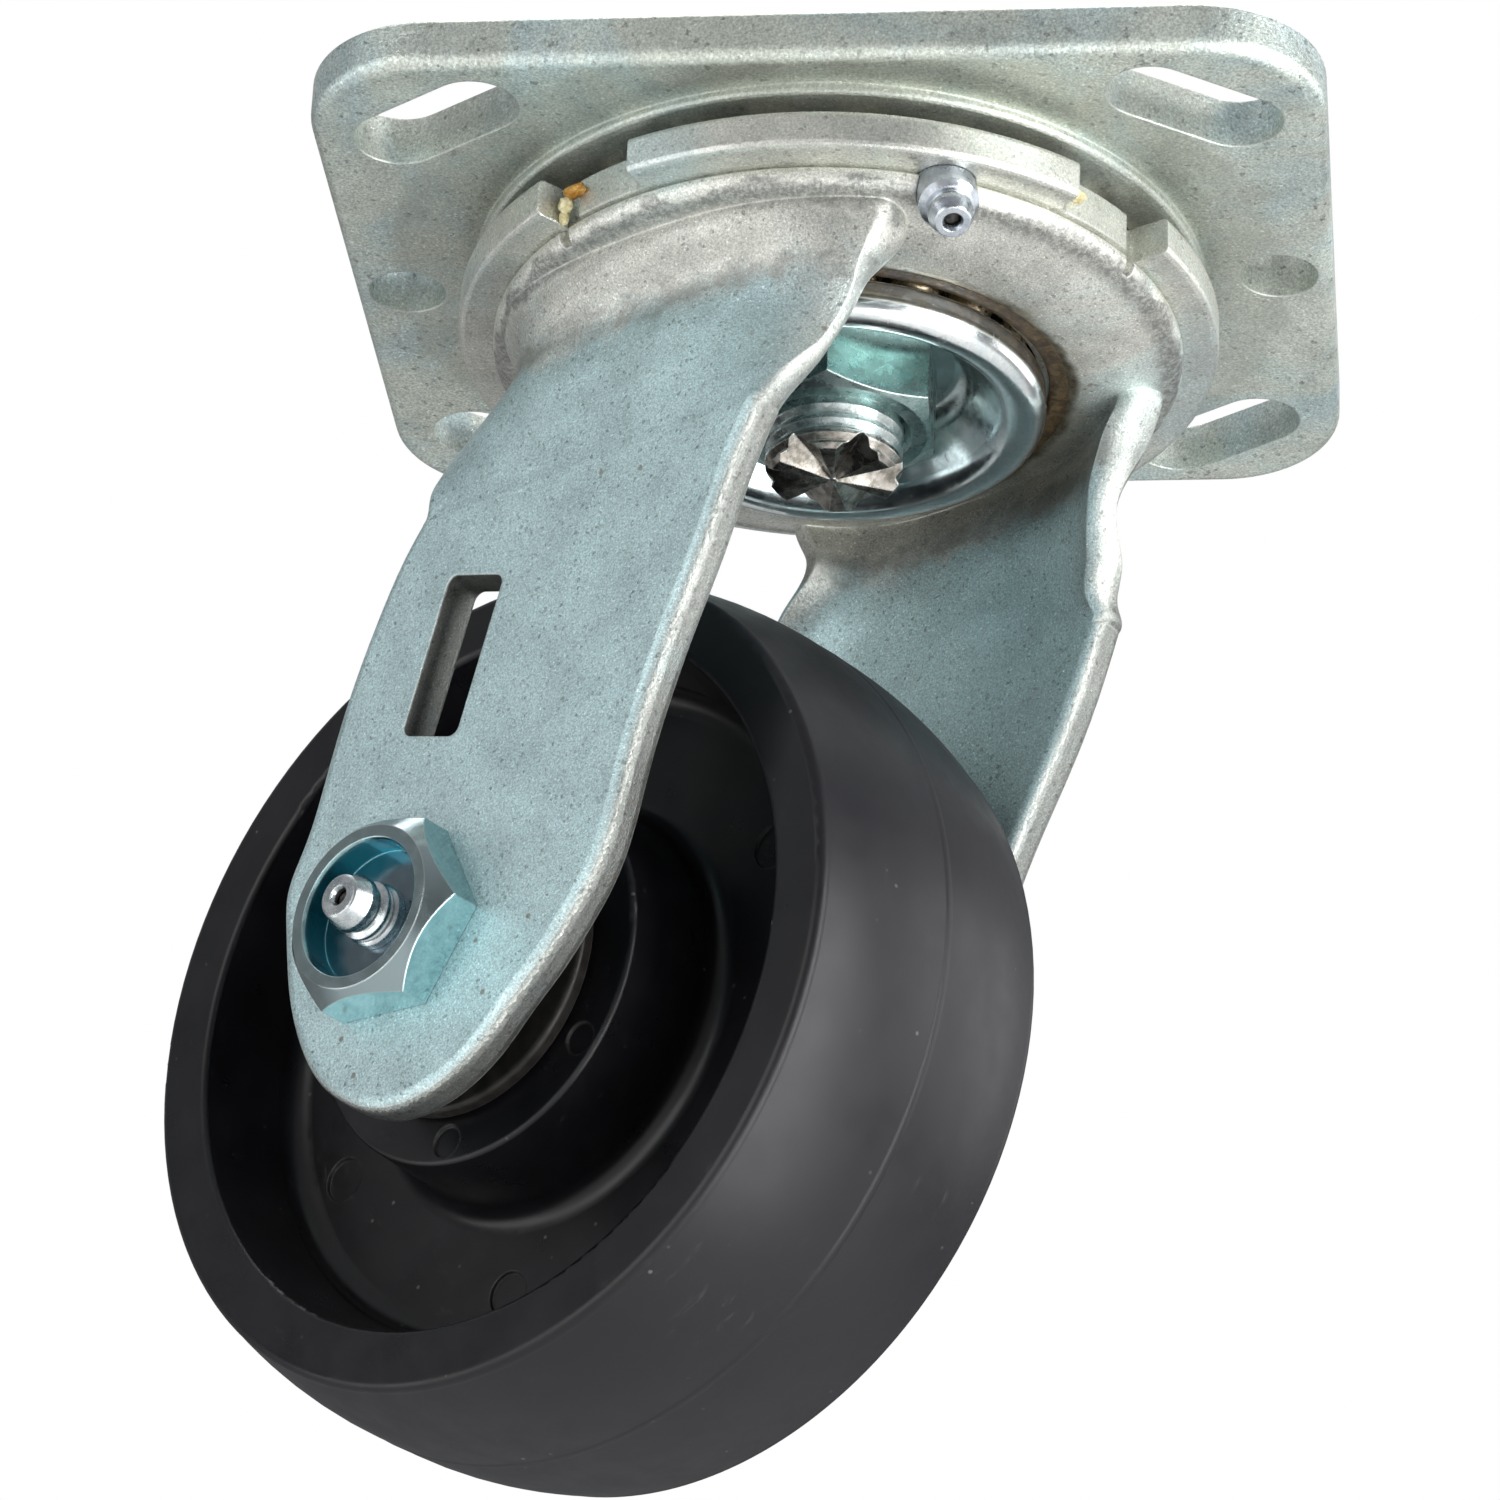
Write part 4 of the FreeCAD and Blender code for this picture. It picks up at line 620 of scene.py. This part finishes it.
def add_world():
    """Grey surroundings for lighting and reflections, white to the camera."""
    world = bpy.data.worlds.new("studio")
    bpy.context.scene.world = world
    world.use_nodes = True
    nodes = world.node_tree.nodes
    link = world.node_tree.links.new
    coords = nodes.new("ShaderNodeTexCoord")
    split = nodes.new("ShaderNodeSeparateXYZ")
    link(coords.outputs["Generated"], split.inputs[0])
    # from -1..1 to 0..1
    half = nodes.new("ShaderNodeMath")
    half.operation = "MULTIPLY_ADD"
    half.inputs[1].default_value = 0.5
    half.inputs[2].default_value = 0.5
    link(split.outputs["Z"], half.inputs[0])
    # from straight down at 0 to straight up at 1
    ramp = nodes.new("ShaderNodeValToRGB")
    ramp.color_ramp.interpolation = "EASE"
    stops = ramp.color_ramp.elements
    stops[0].color = (0.42, 0.42, 0.42, 1)
    stops[1].color = (0.40, 0.41, 0.42, 1)
    stops.new(0.46).color = (0.26, 0.26, 0.265, 1)
    stops.new(0.56).color = (0.20, 0.205, 0.21, 1)
    link(half.outputs[0], ramp.inputs[0])
    grey = nodes["Background"]
    grey.inputs["Strength"].default_value = 1.0
    link(ramp.outputs["Color"], grey.inputs["Color"])
    white = nodes.new("ShaderNodeBackground")
    white.inputs["Color"].default_value = (1, 1, 1, 1)
    path = nodes.new("ShaderNodeLightPath")
    pick = nodes.new("ShaderNodeMixShader")
    link(path.outputs["Is Camera Ray"], pick.inputs[0])
    link(grey.outputs[0], pick.inputs[1])
    link(white.outputs[0], pick.inputs[2])
    link(pick.outputs[0], nodes["World Output"].inputs["Surface"])


def softbox(name, place, target, size, watts):
    data = bpy.data.lights.new(name, "AREA")
    data.shape = "RECTANGLE"
    data.size, data.size_y = size
    data.energy = watts
    light = add_object(name, data)
    light.location = place
    aim = Vector(target) - Vector(place)
    light.rotation_euler = aim.to_track_quat("-Z", "Y").to_euler()


def add_floor(z=-0.52):
    """Pale floor, clear from its back side."""
    bm = bmesh.new()
    bmesh.ops.create_grid(bm, x_segments=1, y_segments=1, size=3.0)
    for vert in bm.verts:
        vert.co.z = z
    g = Graph("floor")
    color = g.two_tone((0.80, 0.80, 0.79), (0.77, 0.77, 0.765), size=300.0)
    g.finish(color, rough=g.patches(to=(0.6, 0.75), size=60.0), metallic=0.0)
    clear = g.new("ShaderNodeBsdfTransparent")
    pick = g.new("ShaderNodeMixShader")
    g.put(pick.inputs[0], g.geometry.outputs["Backfacing"])
    g.put(pick.inputs[1], g.bsdf.outputs[0])
    g.put(pick.inputs[2], clear.outputs[0])
    g.put(g.tree.nodes["Material Output"].inputs["Surface"], pick.outputs[0])
    return add_mesh("floor", bm, g.mat)


add_camera()
add_world()
# name, place, target, size, watts
SOFTBOXES = (
    ("front_left", (-0.80, -0.80, -0.12), (0, 0, -0.06), (0.9, 1.0), 5.3),
    ("front_right", (0.85, -0.50, -0.10), (0, 0, -0.05), (0.5, 0.8), 9.5),
    ("under", (0.30, -0.22, -0.47), (0.02, 0, -0.02), (0.5, 0.4), 2.4),
    ("left_low", (-0.95, -0.10, -0.38), (0, 0, -0.03), (0.5, 0.5), 1.2),
    ("right_rear", (0.95, 0.38, 0.12), (0, 0, -0.07), (0.6, 0.7), 2.8),
    ("top", (0.1, 0.2, 0.9), (0, 0, -0.05), (0.8, 0.8), 6.0),
)
for box in SOFTBOXES:
    softbox(*box)
add_floor()
